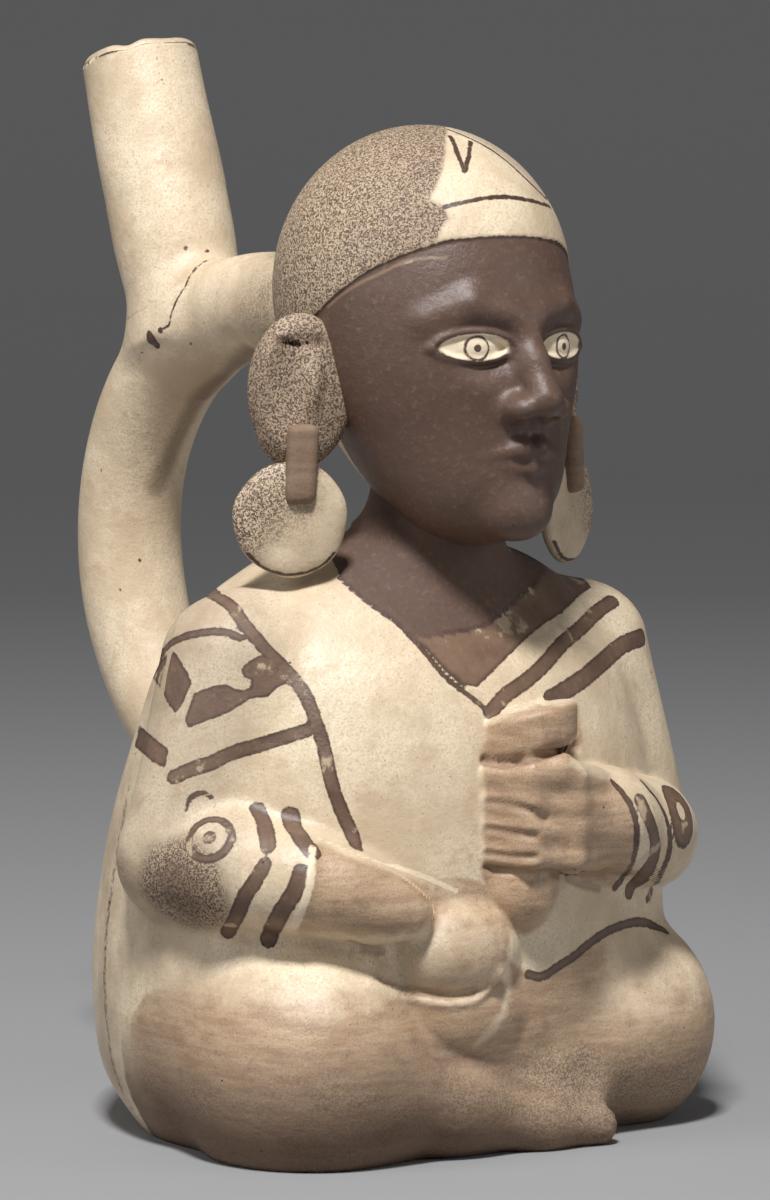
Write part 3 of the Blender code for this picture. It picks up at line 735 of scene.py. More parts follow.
def body_marks(p):
    """The body's marks: slips, mottle by the near elbow, arm and knees, and painted shade low down, in the
    folds and under the jaw.
    """
    facing = facing_camera(body_form, p)
    collar = patched(p, facing, (COLLAR,))
    # The neck is dark slip, and where the shadow under the jaw falls it is painted shadow too.
    neck = np.minimum(limb(p, *NECK) - 2.0, patched(p, facing, (NECK_SLIP_AND_SHADOW,)))
    dark = least(collar, neck, dark_on_body(p, facing))
    tan = skin_of_body(p, facing)
    elbow = np.linalg.norm(p - on_form(plain_body, (ELBOW_BLOTCH,))[0], axis=-1)
    back_arm = eased(p[:, 0], -40.0, -56.0) * eased(p[:, 1], -14.0, 2.0) * eased(p[:, 2], 96.0, 60.0)
    arm = np.minimum(limb(p, *RIGHT_UPPER_ARM), chain(p, RIGHT_FOREARM[:2]))
    arm = eased(arm, 3.0, -0.5) * eased(p[:, 1], 12.0, -2.0)
    knee = eased(p[:, 2], 40.0, 12.0) * eased(tan, 0.5, -3.0)
    speckle = most(eased(elbow, 17.0, 5.0), 0.38 * back_arm, 0.34 * arm, 0.5 * knee)
    # Painted shade: darker low down on the skin, in the folds, in the crease between the legs and on the neck
    # under the jaw. The elbow's and the arm's shares are mottle.
    top = 18.0 + 9.0 * eased(p[:, 0], 4.0, -30.0)
    low = np.clip((top - p[:, 2]) / 20.0, 0.0, 1.0) * eased(tan, 1.0, -2.0)
    folds = eased(painted(p, GROOVES), 0.6, -0.2)
    crease_shade = eased(painted(p, laid_on(plain_body, (LEG_CREASE_SHADE,))), 3.2, -0.2)
    soot = most(low, 0.85 * eased(elbow, 12.0, 3.0), 0.45 * arm, 0.7 * eased(neck, 1.0, -2.0),
                0.6 * folds, 0.75 * crease_shade)
    rubbed = np.where(neck < 0.5, 0.1, np.maximum(0.7 * eased(collar, 0.8, -1.2), 0.5))
    # Pale: a line at the near wrist and a painted highlight along the tunic's edge.
    return marks_of(p, dark=dark, pale=painted(p, laid_on(plain_body, PALE_LINE_AND_HIGHLIGHT_STROKES)), tan=tan,
                    speckle=speckle, soot=soot, rubbed=rubbed, bare=bare_by_wear_and_light(p, facing))


def dark_on_body(p, facing):
    """Signed distance to the body's dark lines and patches, the elbows' eyes and the seam; a few of the lines
    are painted shade in the hands' folds and under the drum.
    """
    near_eye, far_eye = on_form(plain_body, ELBOW_EYES)
    near = np.linalg.norm(p - near_eye, axis=-1)
    far = np.linalg.norm((p - far_eye) * np.array((1.0, 0.8, 0.6)), axis=-1)
    return least(painted(p, laid_on(plain_body, DARK_STROKES)), patched(p, facing, DARK_PATCHES),
                 np.abs(near - 4.5) - 0.9, near - 1.5, np.maximum(far - 4.6, 1.3 - far),
                 seam_lines(p))


def bare_by_wear_and_light(p, facing):
    """Share of skin turned to the cream ground on the knees, the near hip and the lap: wear, and on the
    knees, where it grows towards their tops, also a painted highlight.
    """
    near_knee = eased(p[:, 2], 22.0, 42.0) * eased(p[:, 0], -6.0, -30.0)
    far_knee = 0.85 * eased(p[:, 2], 10.0, 34.0) * eased(p[:, 0], 4.0, 26.0)
    hip = 0.85 * eased(p[:, 1], -2.0, 14.0) * eased(p[:, 0], -30.0, -42.0)
    knees = most(near_knee, far_knee, hip) * eased(p[:, 2], 49.0, 45.0)
    return np.maximum(knees, 0.6 * eased(patched(p, facing, (LAP_PATCH,)), 1.0, -1.5))


def seam_lines(p):
    """Signed distance to two thin upright lines close together on the chamber's right side."""
    place = on_form(plain_body, (SEAM_PIXEL,))[0]
    full = 2.0 * math.pi
    turn = np.arctan2(p[:, 1], p[:, 0]) % full - math.atan2(place[1], place[0]) % full
    along = turn * np.hypot(p[:, 0], p[:, 1])
    across = np.abs(np.abs(along) - 1.1) - 0.45
    return np.where(p[:, 0] < -20.0, np.maximum(across, np.abs(p[:, 2] - 38.0) - 33.0), 9.0)


def skin_of_body(p, facing):
    """Signed distance to bare skin: hands, held thing and the legs below the tunic's hem."""
    hem = np.interp(p[:, 1], (-60.0, -31.0, -12.0, 3.0, 14.4, 17.5), (36.0, 38.0, 37.0, 32.0, 21.6, 0.0))
    below_hem = 0.8 * (p[:, 2] - hem)
    seen = patched(p, facing, SKIN_PATCHES + (LAP_PATCH,))
    seen = np.where(p[:, 0] < -30.0, np.maximum(seen, np.where(p[:, 2] < 43.0, below_hem, -9.0)), seen)
    far_wrist = (p - np.array((19.0, -50.0, 66.0))) @ np.array((0.786, 0.336, 0.518))
    far_hand = np.maximum(left_hand(p) - 1.0, far_wrist)
    hidden = np.minimum(np.where((np.abs(p[:, 0]) > 20.0) | (p[:, 1] < -24.0), below_hem, 9.0), far_hand)
    return np.clip(np.where(facing, seen, hidden), -6.0, 9.0)


def head_marks(p):
    """The head's marks: mottled cap with its lines, dark face below the cap's edge with a painted highlight
    along that edge, pale eyes.
    """
    half = mirrored(p)
    facing = facing_camera(skull, p)
    above_edge = p[:, 2] - cap_edge(p)
    face = np.maximum(above_edge, p[:, 1] + 6.0 - 0.12 * (p[:, 2] - 150.0))
    ball = np.hypot((half[:, 0] - EYE[0]) / 6.6, (p[:, 2] - EYE[2] - 0.2) / 2.6)
    white = np.where(p[:, 1] < -32.0, (ball - 1.0) * 2.6, 9.0)
    iris = np.hypot(half[:, 0] - EYE[0], p[:, 2] - EYE[2])
    iris = np.where(p[:, 1] < -34.0, np.minimum(np.abs(iris - 2.3) - 0.3, iris - 0.8), 9.0)
    dark = least(np.maximum(face, -white), iris, painted(p, laid_on(skull, CAP_STROKES)))
    # Painted highlight: the dark face is lightened along the cap's edge.
    worn = painted(p, laid_on(skull, CAP_EDGE_HIGHLIGHT_STROKES))
    mottle = eased(inside_outline(p, CAP_MOTTLE), 1.6, -1.2) * eased(above_edge, -0.5, 0.8)
    grey = eased(patched(p, facing, (CAP_GREY,)), 0.6, -0.8) * eased(above_edge, 0.0, 1.0)
    before = eased(in_picture(p)[:, 0], 300.0, 430.0)
    return marks_of(p, dark=dark, pale=np.maximum(white, -iris),
                    speckle=np.maximum(mottle, 0.25 * eased(face, 1.0, -1.0)),
                    soot=np.maximum(0.55 * grey, 0.42 * mottle * before),
                    rubbed=np.maximum(0.1 * eased(face, 0.0, -2.0), eased(worn, 0.4, -0.3)))


def arch_path(count):
    """The stirrup's centre line: out of the head's back, round, and into the figure's back.

    A level run leaves the head, a half oval turns down past the outermost point and back in, and a
    short level run enters the chamber.
    """
    reach = ARCH_BACK - ARCH_TURN
    t = np.linspace(math.pi / 2.0, -math.pi / 2.0, count)
    height = np.where(t > 0.0, ARCH_TOP - ARCH_MIDDLE, ARCH_MIDDLE - ARCH_FOOT)
    lead = np.linspace(ARCH_START, ARCH_TURN, count // 6, endpoint=False)
    y = np.concatenate((lead, ARCH_TURN + reach * np.cos(t), (ARCH_END,)))
    z = np.concatenate((0.0 * lead + ARCH_TOP, ARCH_MIDDLE + height * np.sin(t), (ARCH_FOOT,)))
    return np.stack((0.0 * y, y, z), axis=-1)


def spout_way(sizes):
    """The leaning spout's direction, up and to the back."""
    return np.array((0.0, math.sin(sizes.spout_lean), math.cos(sizes.spout_lean)))


def spout_wall(share, sizes):
    """The spout's outer radius at a share of its length: narrower at its foot and near the rim."""
    return sizes.spout_radius / STEP - 0.8 * eased(-share, -0.3, 0.0) - 0.6 * eased(share, 0.5, 1.0)


def spout_form(p, sizes):
    """Distance to the spout, which runs on down into the stirrup."""
    q = p - np.array(SPOUT_FOOT)
    along = q @ spout_way(sizes)
    across = np.linalg.norm(q - along[:, None] * spout_way(sizes), axis=-1)
    beyond = across - spout_wall(along * STEP / sizes.spout_length, sizes)
    return np.hypot(np.maximum(beyond, 0.0), np.maximum(-7.0 - along, 0.0)) + np.minimum(beyond, 0.0)


def ring_ways(first, second, sides):
    """Unit ways round a ring, from two directions square to the path at each of its points."""
    angle = angles_round(sides)[:, None]
    return first[:, None] * np.cos(angle) + second[:, None] * np.sin(angle)


def grown(path, ring, radii, limits, wall):
    """Radii grown outwards until a wall's signed distance rises through 0, or to their limits."""
    limits = np.broadcast_to(limits, radii.shape)
    growing = np.ones(radii.shape, bool)
    last = np.full(radii.shape, -GROWTH)
    for _ in range(int((limits - radii).max() / GROWTH) + 1):
        points = (path[:, None] + radii[..., None] * ring).reshape(-1, 3)
        value = wall(points, radii.ravel()).reshape(radii.shape)
        met = growing & (value >= 0.0)
        radii = np.where(met, radii - GROWTH * value / np.maximum(value - last, 1e-6), radii)
        growing &= ~met & (radii < limits)
        last = value
        radii = np.where(growing, radii + GROWTH, radii)
    return np.minimum(radii, limits)


def closed_tube(path, ring, radii):
    """Rings round a path at their radii, closed by the path's two end points."""
    rings = path[:, None] + radii[..., None] * ring
    return np.vstack((rings.reshape(-1, 3), path[:1], path[-1:]))


def stirrup_points(sizes, sides, count):
    """The stirrup: a slightly uneven round tube along its centre line, filleted into the spout."""
    path = arch_path(count)
    along = np.gradient(path, axis=0)
    along /= np.linalg.norm(along, axis=1)[:, None]
    across = np.cross(along, np.array((1.0, 0.0, 0.0)))
    ring = ring_ways(np.cross(across, along), -across, sides)
    wave = 0.12 * np.sin(path[:, 2] / 8.0 + path[:, 1] / 13.0)
    radii = (sizes.tube_radius / STEP + wave)[:, None] + 0.08 * ring[..., 0]
    near = np.linalg.norm(path - np.array(SPOUT_FOOT), axis=1) < STIRRUP_GROWS
    tube = radii[near].ravel()
    radii[near] = grown(path[near], ring[near], radii[near] - GROWTH, STIRRUP_WIDEST,
                        lambda p, radius: blend(radius - tube, spout_form(p, sizes), FILLET))
    return closed_tube(path, ring, radii)


def spout_points(sizes, sides):
    """The spout: up its outer wall, over the worn rim and down the bore.

    The outer wall is filleted into the stirrup, the rim is a half circle with a few shallow chips,
    and the bore is a straight round hole.
    """
    wall_rows, rim_rows, bore_rows = SPOUT_ROWS
    length, bore = sizes.spout_length / STEP, sizes.bore_radius / STEP
    half_wall = (spout_wall(1.0, sizes) - bore) / 2.0
    angle = angles_round(sides)
    up = np.linspace(*WALL_SHARES, wall_rows)
    lip = np.radians(np.linspace(0.0, 180.0, rim_rows))
    down = np.linspace(*BORE_SHARES, bore_rows)
    shares = np.concatenate((up, WALL_SHARES[1] + half_wall * np.sin(lip) / length, down))
    way = spout_way(sizes)
    path = np.array(SPOUT_FOOT) + shares[:, None] * length * way
    ring = ring_ways(np.broadcast_to((1.0, 0.0, 0.0), path.shape),
                     np.broadcast_to((0.0, way[2], -way[1]), path.shape), sides)
    wall = spout_wall(up, sizes)[:, None] + 0.1 * np.sin(3.0 * angle + 9.0 * up[:, None])
    rim = (bore + half_wall * (1.0 + np.cos(lip)))[:, None] + 0.0 * angle
    rim[0] = wall[-1]
    low = np.flatnonzero(up < SPOUT_GROWS)
    limits = np.interp(up[low], *SPOUT_WIDEST)[:, None]
    centre_line = arch_path(60)
    wall[low] = grown(path[low], ring[low], np.minimum(wall[low] - GROWTH, limits), limits,
                      lambda p, radius: blend(to_line(p, centre_line) - sizes.tube_radius / STEP,
                                              spout_form(p, sizes), FILLET))
    points = closed_tube(path, ring, np.vstack((wall, rim, np.full((bore_rows, sides), bore))))
    chip_angle, chip_depth, chip_width = np.array(RIM_CHIPS).T
    turn = (angle[:, None] - chip_angle + math.pi) % (2.0 * math.pi) - math.pi
    chips = (chip_depth * np.exp(-(turn / chip_width) ** 2)).sum(axis=1)
    near_rim = eased(np.concatenate((up, np.ones(rim_rows), down)), 0.93, 0.99)
    points[:-2] -= (near_rim[:, None] * chips).reshape(-1, 1) * way
    return points


def tube_marks(p, on_spout=False):
    """Marks of stirrup and spout: a crack and dark spots on both, with mottle about the first spot.

    The stirrup is also mottled near the head, with painted shade darkening it towards its inner side
    and a dark band along that side. The spout is sooty at its rim.
    """
    dark = painted(p, laid_on(near_tubes, (TUBE_CRACK,)))
    places = on_form(near_tubes, [pixel for pixel, _ in TUBE_SPOTS])
    spots = [np.linalg.norm(p - place, axis=-1) for place in places]
    for spot, (_, radius) in zip(spots, TUBE_SPOTS):
        dark = np.minimum(dark, spot - radius)
    if on_spout:
        soot = 0.5 * eased(past_rim(p, bpy.context.scene.bottle_sizes), -2.6, -0.2)
        return marks_of(p, dark=dark, speckle=0.45 * eased(spots[0], 9.0, 1.0), soot=soot)
    path = arch_path(60)
    nearest = np.argmin(np.linalg.norm(p[:, None, 1:] - path[None, :, 1:], axis=-1), axis=1)
    loop = np.array((ARCH_TURN, ARCH_MIDDLE))
    inward = np.linalg.norm(path[nearest, 1:] - loop, axis=-1) - np.linalg.norm(p[:, 1:] - loop, axis=-1)
    to_head = eased(p[:, 1], 66.0, 30.0) * eased(p[:, 2], 140.0, 152.0)
    band = eased(painted(p, laid_on(near_tubes, (TUBE_BAND,))), 3.5, -0.5)
    speckle = np.maximum(0.55 * to_head, 0.5 * eased(spots[0], 7.0, 1.0))
    # Painted shade: darker towards the stirrup's inner side. The band along that side and the mottle near the
    # head darken it too.
    soot = most(0.15 * to_head, 0.1 * eased(inward, 3.0, 10.0), 0.8 * band)
    return marks_of(p, dark=dark, speckle=speckle, soot=soot)


def past_rim(p, sizes):
    """How far points lie past the spout's rim, along the spout."""
    return (p - np.array(SPOUT_FOOT)) @ spout_way(sizes) - sizes.spout_length / STEP


def near_tubes(p):
    """Distance to stirrup and spout, for the marks that lie on them."""
    sizes = bpy.context.scene.bottle_sizes
    arch = to_line(p, arch_path(40)) - sizes.tube_radius / STEP
    return blend(arch, np.maximum(spout_form(p, sizes), past_rim(p, sizes)), FILLET)


def slab(p, centre, half_sizes, ease):
    """Distance to a block with eased edges."""
    q = np.abs(p - np.asarray(centre)) - np.asarray(half_sizes) + ease
    return np.linalg.norm(np.maximum(q, 0.0), axis=-1) + np.minimum(q.max(axis=-1), 0.0) - ease


def ear_frame(side):
    """Directions of an ear: outward along its plate, out of its face, and up."""
    out = (side * math.cos(EAR_TURN), math.sin(EAR_TURN), 0.0)
    face = (side * math.sin(EAR_TURN), -math.cos(EAR_TURN), 0.0)
    return np.array((out, face, (0.0, 0.0, 1.0)))


def ear_plate(p):
    """An ear in its own frame: an oval plate whose face has a rim in a C, a hollow and a ridge in it.

    The face's relief is a bell curve across each of them: the rim round the plate's edge, the hollow
    within it, the upright inner ridge, and the fold below the rim's top.
    """
    f = blend(ellipsoid(p, (-2.2, -0.6, 0), (10.6, 3.6, 15.3)),
              ellipsoid(p, (-1.2, -0.5, -8.0), (7.6, 3.0, 7.6)), 1.0)
    x, z = p[:, 0], p[:, 2]
    round_edge = np.hypot((x + 2.2) / 10.6, z / 15.3)
    relief = 1.0 * np.exp(-((round_edge - 0.78) / 0.15) ** 2) * eased(x - 0.25 * np.abs(z - 2.0), -8.0, -2.0)
    relief -= 1.1 * np.exp(-((x + 0.2) / 2.6) ** 2 - ((z - 0.5) / 7.5) ** 2)
    relief += 1.9 * np.exp(-((x + 4.2) / 1.8) ** 2 - ((z - 0.4) / 5.2) ** 2)
    relief -= 1.2 * np.exp(-((z - 9.6) / 0.8) ** 2) * eased(np.abs(x + 2.0), 5.5, 3.5)
    return f - relief * eased(p[:, 1], 0.0, 1.8)


def ear_lobe(p):
    """The ear's lobe in its own frame: a flat tab that hangs over the disc's upper half."""
    leaning = p + 0.06 * p[:, 2:] * np.array((1.0, 0.0, 0.0))
    return slab(leaning, (0, 0, 0), (3.1, 2.6, 7.9), 1.9) + 0.25 * uneven(3.0 * p)


def disc_points(radius, sides, rings):
    """An ear disc in its own frame: a thick round plate with eased, slightly uneven edges.

    The profile runs from the middle of the back over the rim to the middle of the face: its radius
    is R (cos t) to the power 0.4 and its depth the half thickness times sin t.
    """
    t = np.linspace(-math.pi / 2.0, math.pi / 2.0, rings + 2)[1:-1]
    share = np.cos(t) ** 0.4
    angle = angles_round(sides)
    ragged = radius * (1.0 + 0.012 * np.sin(3.0 * angle + 1.0) + 0.008 * np.sin(7.0 * angle))
    x = share[:, None] * ragged * np.cos(angle)
    z = share[:, None] * ragged * np.sin(angle)
    y = DISC_HALF_THICKNESS * np.sin(t)[:, None] + 0.15 * np.sin(x / 1.9) * np.sin(z / 2.3)
    points = np.stack((x, y, z), axis=-1).reshape(-1, 3)
    return np.vstack((points, ((0.0, -DISC_HALF_THICKNESS, 0.0), (0.0, DISC_HALF_THICKNESS, 0.0))))


def ear_marks(p):
    """An ear's marks, from its own frame: mottled all over and darker, more so towards its back, with painted
    shade in the fold under the rim's top.
    """
    rim = eased(p[:, 0], 2.0, 6.0)
    # Painted shade in the fold under the rim's top.
    fold = eased(np.abs(p[:, 2] - 9.8), 2.0, 0.8) * eased(np.abs(p[:, 0] + 2.0), 7.0, 5.0)
    return marks_of(p, speckle=0.9, soot=np.maximum(0.3 + 0.25 * rim, 0.85 * fold))


def disc_marks(p, radius):
    """An ear disc's marks, from its own frame: specks thickest at the top and outside, and a painted contact
    shadow, a thin dark line inside the rim's lower part.
    """
    far = np.hypot(p[:, 0], p[:, 2])
    # Painted contact shadow where the disc meets the shoulder: a thin dark line inside the lower rim.
    edge = np.maximum(np.abs(far - radius + 0.55) - 0.3, p[:, 2] + 6.5)
    speckle = 0.36 + 0.4 * eased(0.6 * p[:, 2] + 0.7 * p[:, 0], -5.0, 8.0)
    return marks_of(p, dark=edge, speckle=speckle)


def on_side(place, side):
    """A place on the left half, carried to its side of the head."""
    return np.array(place) * (side, 1.0, 1.0)


def placed(points, columns, side, place):
    """A form moved from the ear's own frame to its place, its columns turned about on the left."""
    if side > 0:
        grid = points[:-2].reshape(-1, columns, 3)[:, ::-1].reshape(-1, 3)
        points = np.vstack((grid, points[-2:]))
    return points @ ear_frame(side) + on_side(place, side)


def unplaced(points, side, place):
    """Points taken back from their place into the ear's own frame."""
    return (points - on_side(place, side)) @ ear_frame(side).T


def feed(tree, target, socket, source):
    """Link a source socket, or set a plain value, on a target node's socket."""
    if isinstance(source, bpy.types.NodeSocket):
        tree.links.new(source, target.inputs[socket])
    else:
        target.inputs[socket].default_value = source


def maths(tree, operation, *sources):
    """A Math node and its result."""
    made = tree.nodes.new("ShaderNodeMath")
    made.operation = operation
    for i, source in enumerate(sources):
        feed(tree, made, i, source)
    return made.outputs[0]


def noise(tree, coords, scale, detail, rough, stretch=None):
    """Noise over object coordinates, in bumps per metre, scaled by axis if asked."""
    if stretch:
        mapping = tree.nodes.new("ShaderNodeMapping")
        mapping.inputs["Scale"].default_value = stretch
        tree.links.new(coords, mapping.inputs["Vector"])
        coords = mapping.outputs[0]
    made = tree.nodes.new("ShaderNodeTexNoise")
    made.inputs["Scale"].default_value = scale
    made.inputs["Detail"].default_value = detail
    made.inputs["Roughness"].default_value = rough
    tree.links.new(coords, made.inputs["Vector"])
    return made.outputs["Fac"]


def pits(tree, coords, scale, radius):
    """1 in small round pits, one to a cell of a Voronoi pattern, and 0 between them."""
    made = tree.nodes.new("ShaderNodeTexVoronoi")
    made.inputs["Scale"].default_value = scale
    tree.links.new(coords, made.inputs["Vector"])
    return between(tree, made.outputs["Distance"], radius, 0.6 * radius)


def ragged(tree, value, grain, amount):
    """A value made ragged by noise: value + amount (grain - 0.5)."""
    return maths(tree, "MULTIPLY_ADD", maths(tree, "SUBTRACT", grain, 0.5), amount, value)


def slip_over(tree, under, slip, distance, grain, raggedness, softness=0.15):
    """One slip over another where a signed distance, made ragged by grain, is below 0."""
    edge = ragged(tree, distance, grain, raggedness)
    return mixed(tree, between(tree, edge, softness, -softness), under, slip)


def dusted(tree, under, slip, share, value, low, high):
    """A share of one slip over another, from none where a value is at low to all of it at high."""
    return mixed(tree, maths(tree, "MULTIPLY", between(tree, value, low, high), share), under, slip)


def between(tree, value, low, high):
    """0 below low and 1 above high, eased, by a Map Range node."""
    made = tree.nodes.new("ShaderNodeMapRange")
    made.interpolation_type = "SMOOTHSTEP"
    feed(tree, made, "Value", value)
    made.inputs["From Min"].default_value = low
    made.inputs["From Max"].default_value = high
    return made.outputs["Result"]


def mixed(tree, share, first, second):
    """A colour mix of two colours or sockets by a share."""
    made = tree.nodes.new("ShaderNodeMix")
    made.data_type = "RGBA"
    feed(tree, made, 0, share)
    feed(tree, made, 6, first)
    feed(tree, made, 7, second)
    return made.outputs[2]


def mark(tree, name):
    """A painted mark's value at the surface."""
    made = tree.nodes.new("ShaderNodeAttribute")
    made.attribute_name = name
    return made.outputs["Fac"]


def burnished_clay(slips):
    """The clay with its slips and its age, laid over each other by the marks.

    From below: cream ground, tan skin that is worn to the ground where bare, which on the knees' tops
    also stands for a painted highlight, mottle, dirt and painted shade, dark slip that flakes where
    rubbed and is lightened along the cap's edge as a painted highlight, pale lines and a painted
    highlight, specks and pits. Roughness and bump follow the same noises.
    """
    material = bpy.data.materials.new("burnished_clay")
    material.use_nodes = True
    tree = material.node_tree
    shader = tree.nodes["Principled BSDF"]
    coords = tree.nodes.new("ShaderNodeTexCoord").outputs["Object"]
    cream, cream_worn, tan, tan_worn, dark, dark_worn = (
        (*getattr(slips, name), 1.0) for name in BottleSlips.__annotations__)
    cloud, patches, fine, grain, coarse, streaks, brush = (
        noise(tree, coords, *values) for values in NOISES.values())
    granules = maths(tree, "MULTIPLY_ADD", coarse, 0.5, maths(tree, "MULTIPLY", grain, 0.5))
    holes = pits(tree, coords, *PITS)

    ground = mixed(tree, between(tree, cloud, 0.36, 0.68), cream, cream_worn)
    ground = mixed(tree, between(tree, patches, 0.52, 0.7), ground, mixed(tree, 0.6, cream_worn, tan_worn))
    ground = dusted(tree, ground, cream_worn, 0.75, coarse, 0.45, 0.65)
    ground = dusted(tree, ground, tan_worn, 0.5, grain, 0.54, 0.66)
    ground = dusted(tree, ground, cream_worn, 0.35, brush, 0.45, 0.7)

    skin = mixed(tree, between(tree, streaks, 0.3, 0.72), tan, tan_worn)
    skin = dusted(tree, skin, dark_worn, 0.4, patches, 0.54, 0.72)
    skin = dusted(tree, skin, dark_worn, 0.4, grain, 0.5, 0.66)
    # Bare skin shows the ground: wear, and on the knees' tops also a painted highlight.
    skin = dusted(tree, skin, ground, 0.9, ragged(tree, mark(tree, "bare"), patches, 1.6), 0.25, 1.0)

    mottle = mixed(tree, between(tree, granules, 0.455, 0.555), dark_worn, cream_worn)
    cover = ragged(tree, mark(tree, "speckle"), cloud, 0.7)

    # Rubbed dark slip turns towards tan: wear, and along the cap's edge a painted highlight.
    rubbed = ragged(tree, mark(tree, "rubbed"), patches, 1.2)
    line = dusted(tree, dark_worn, tan, 0.45, rubbed, 0.1, 1.1)
    line = dusted(tree, line, dark, 0.6, mark(tree, "dark"), -0.8, -0.2)
    line = dusted(tree, line, tan, 0.3, fine, 0.5, 0.8)
    flaked = maths(tree, "MULTIPLY", between(tree, patches, 0.59, 0.66), 0.7)
    flaked = maths(tree, "MULTIPLY", flaked, between(tree, mark(tree, "rubbed"), 0.2, 0.45))

    colour = slip_over(tree, ground, skin, mark(tree, "tan"), patches, 3.4, 0.7)
    colour = mixed(tree, between(tree, cover, 0.25, 0.8), colour, mottle)
    # Dirt and painted shade: this share darkens the colour towards the worn dark slip.
    colour = mixed(tree, maths(tree, "MULTIPLY", mark(tree, "soot"), 0.75), colour, dark_worn)
    colour = slip_over(tree, colour, line, mark(tree, "dark"), fine, 1.0)
    colour = dusted(tree, colour, cream_worn, flaked, mark(tree, "dark"), 0.0, -0.3)
    # Pale slip: the eyes' whites, a line at the near wrist and a painted highlight along the tunic's edge.
    colour = slip_over(tree, colour, cream, mark(tree, "pale"), fine, 0.9)
    colour = dusted(tree, colour, dark_worn, 0.8, granules, 0.63, 0.67)
    colour = mixed(tree, maths(tree, "MULTIPLY", holes, 0.85), colour, dark)
    tree.links.new(colour, shader.inputs["Base Color"])

    roughness = maths(tree, "MULTIPLY_ADD", patches, 0.35, 0.24)
    roughness = maths(tree, "MULTIPLY_ADD", mark(tree, "speckle"), 0.15, roughness)
    roughness = maths(tree, "MULTIPLY_ADD", mark(tree, "soot"), 0.45, roughness)
    tree.links.new(roughness, shader.inputs["Roughness"])

    height = maths(tree, "ADD", maths(tree, "MULTIPLY", fine, 0.5), maths(tree, "MULTIPLY", patches, 1.2))
    height = maths(tree, "SUBTRACT", height, maths(tree, "MULTIPLY", holes, 1.5))
    bump = tree.nodes.new("ShaderNodeBump")
    bump.inputs["Strength"].default_value = 0.5
    bump.inputs["Distance"].default_value = 0.0006
    tree.links.new(height, bump.inputs["Height"])
    tree.links.new(bump.outputs["Normal"], shader.inputs["Normal"])
    return material


def clay():
    """The one clay material, made at first use."""
    found = bpy.data.materials.get("burnished_clay")
    return found or burnished_clay(bpy.context.scene.bottle_slips)


def slip_colour(name, description, default):
    """A colour property with its name, description and default."""
    return bpy.props.FloatVectorProperty(name=name, description=description, subtype="COLOR",
                                         default=default, min=0.0, max=1.0)


def length(name, description, steps):
    """A length property in metres, its default given in steps."""
    return bpy.props.FloatProperty(name=name, description=description, default=steps * STEP,
                                   min=0.0, unit="LENGTH", precision=4)


def power(name, description, watts):
    """A property for a light's power."""
    return bpy.props.FloatProperty(name=name, description=description, default=watts,
                                   min=0.0, unit="POWER")


class BottleSlips(bpy.types.PropertyGroup):
    """Colours of the clay's slips."""

    cream: slip_colour("Cream", "Ground slip", (0.75, 0.625, 0.455))
    cream_worn: slip_colour("Worn cream", "Ground slip where rubbed", (0.55, 0.43, 0.29))
    tan: slip_colour("Tan", "Slip of the bare skin", (0.36, 0.232, 0.14))
    tan_worn: slip_colour("Worn tan", "Tan slip where rubbed", (0.52, 0.37, 0.24))
    dark: slip_colour("Dark", "Slip of the lines", (0.042, 0.022, 0.015))
    dark_worn: slip_colour("Worn dark", "Dark slip where rubbed, and of the face", (0.096, 0.054, 0.038))


class BottleSizes(bpy.types.PropertyGroup):
    """Sizes of the stirrup, the spout and the ear discs."""

    tube_radius: length("Stirrup radius", "Outer radius of the stirrup's tube", 11.2)
    spout_radius: length("Spout radius", "Outer radius of the spout at its widest", 13.1)
    bore_radius: length("Bore radius", "Radius of the hole in the spout", 9.3)
    spout_length: length("Spout length", "From the spout's foot to its rim", 57.0)
    spout_lean: bpy.props.FloatProperty(name="Spout lean", description="Lean of the spout to the back",
                                        default=math.radians(18.0), subtype="ANGLE")
    disc_radius: length("Disc radius", "Radius of an ear disc", 11.5)


class BottleStudio(bpy.types.PropertyGroup):
    """Values of the lights and the paper backdrop."""

    key_power: power("Key light", "Power of the light from the left", 34.5)
    fill_power: power("Fill light", "Power of the light from the right", 3.5)
    side_power: power("Side light", "Power of the low light from the back left", 5.0)
    sky_strength: bpy.props.FloatProperty(name="Surround", description="Strength of the light all round",
                                          default=0.1, min=0.0)
    paper: slip_colour("Paper", "Colour of the floor and backdrop", (0.27, 0.27, 0.275))


class BOTTLE_OT_body(bpy.types.Operator):
    """Make the figure below the head: chamber, arms, hands, legs, lap and the held thing"""

    bl_idname = "bottle.body"
    bl_label = "Body"

    def execute(self, context):
        points = ray_surface(body_form, BODY_CENTRE, BODY_GRID, 110.0, crowding=0.4, rounds=8)
        new_piece("body", points, BODY_GRID[0], clay(), body_marks(points))
        return {"FINISHED"}


class BOTTLE_OT_head(bpy.types.Operator):
    """Make the head with its cap and face"""

    bl_idname = "bottle.head"
    bl_label = "Head"

    def execute(self, context):
        points = ray_surface(face_form, HEAD_CENTRE, HEAD_GRID, 60.0, crowding=0.45, rounds=4)
        new_piece("head", points, HEAD_GRID[0], clay(), head_marks(points))
        return {"FINISHED"}


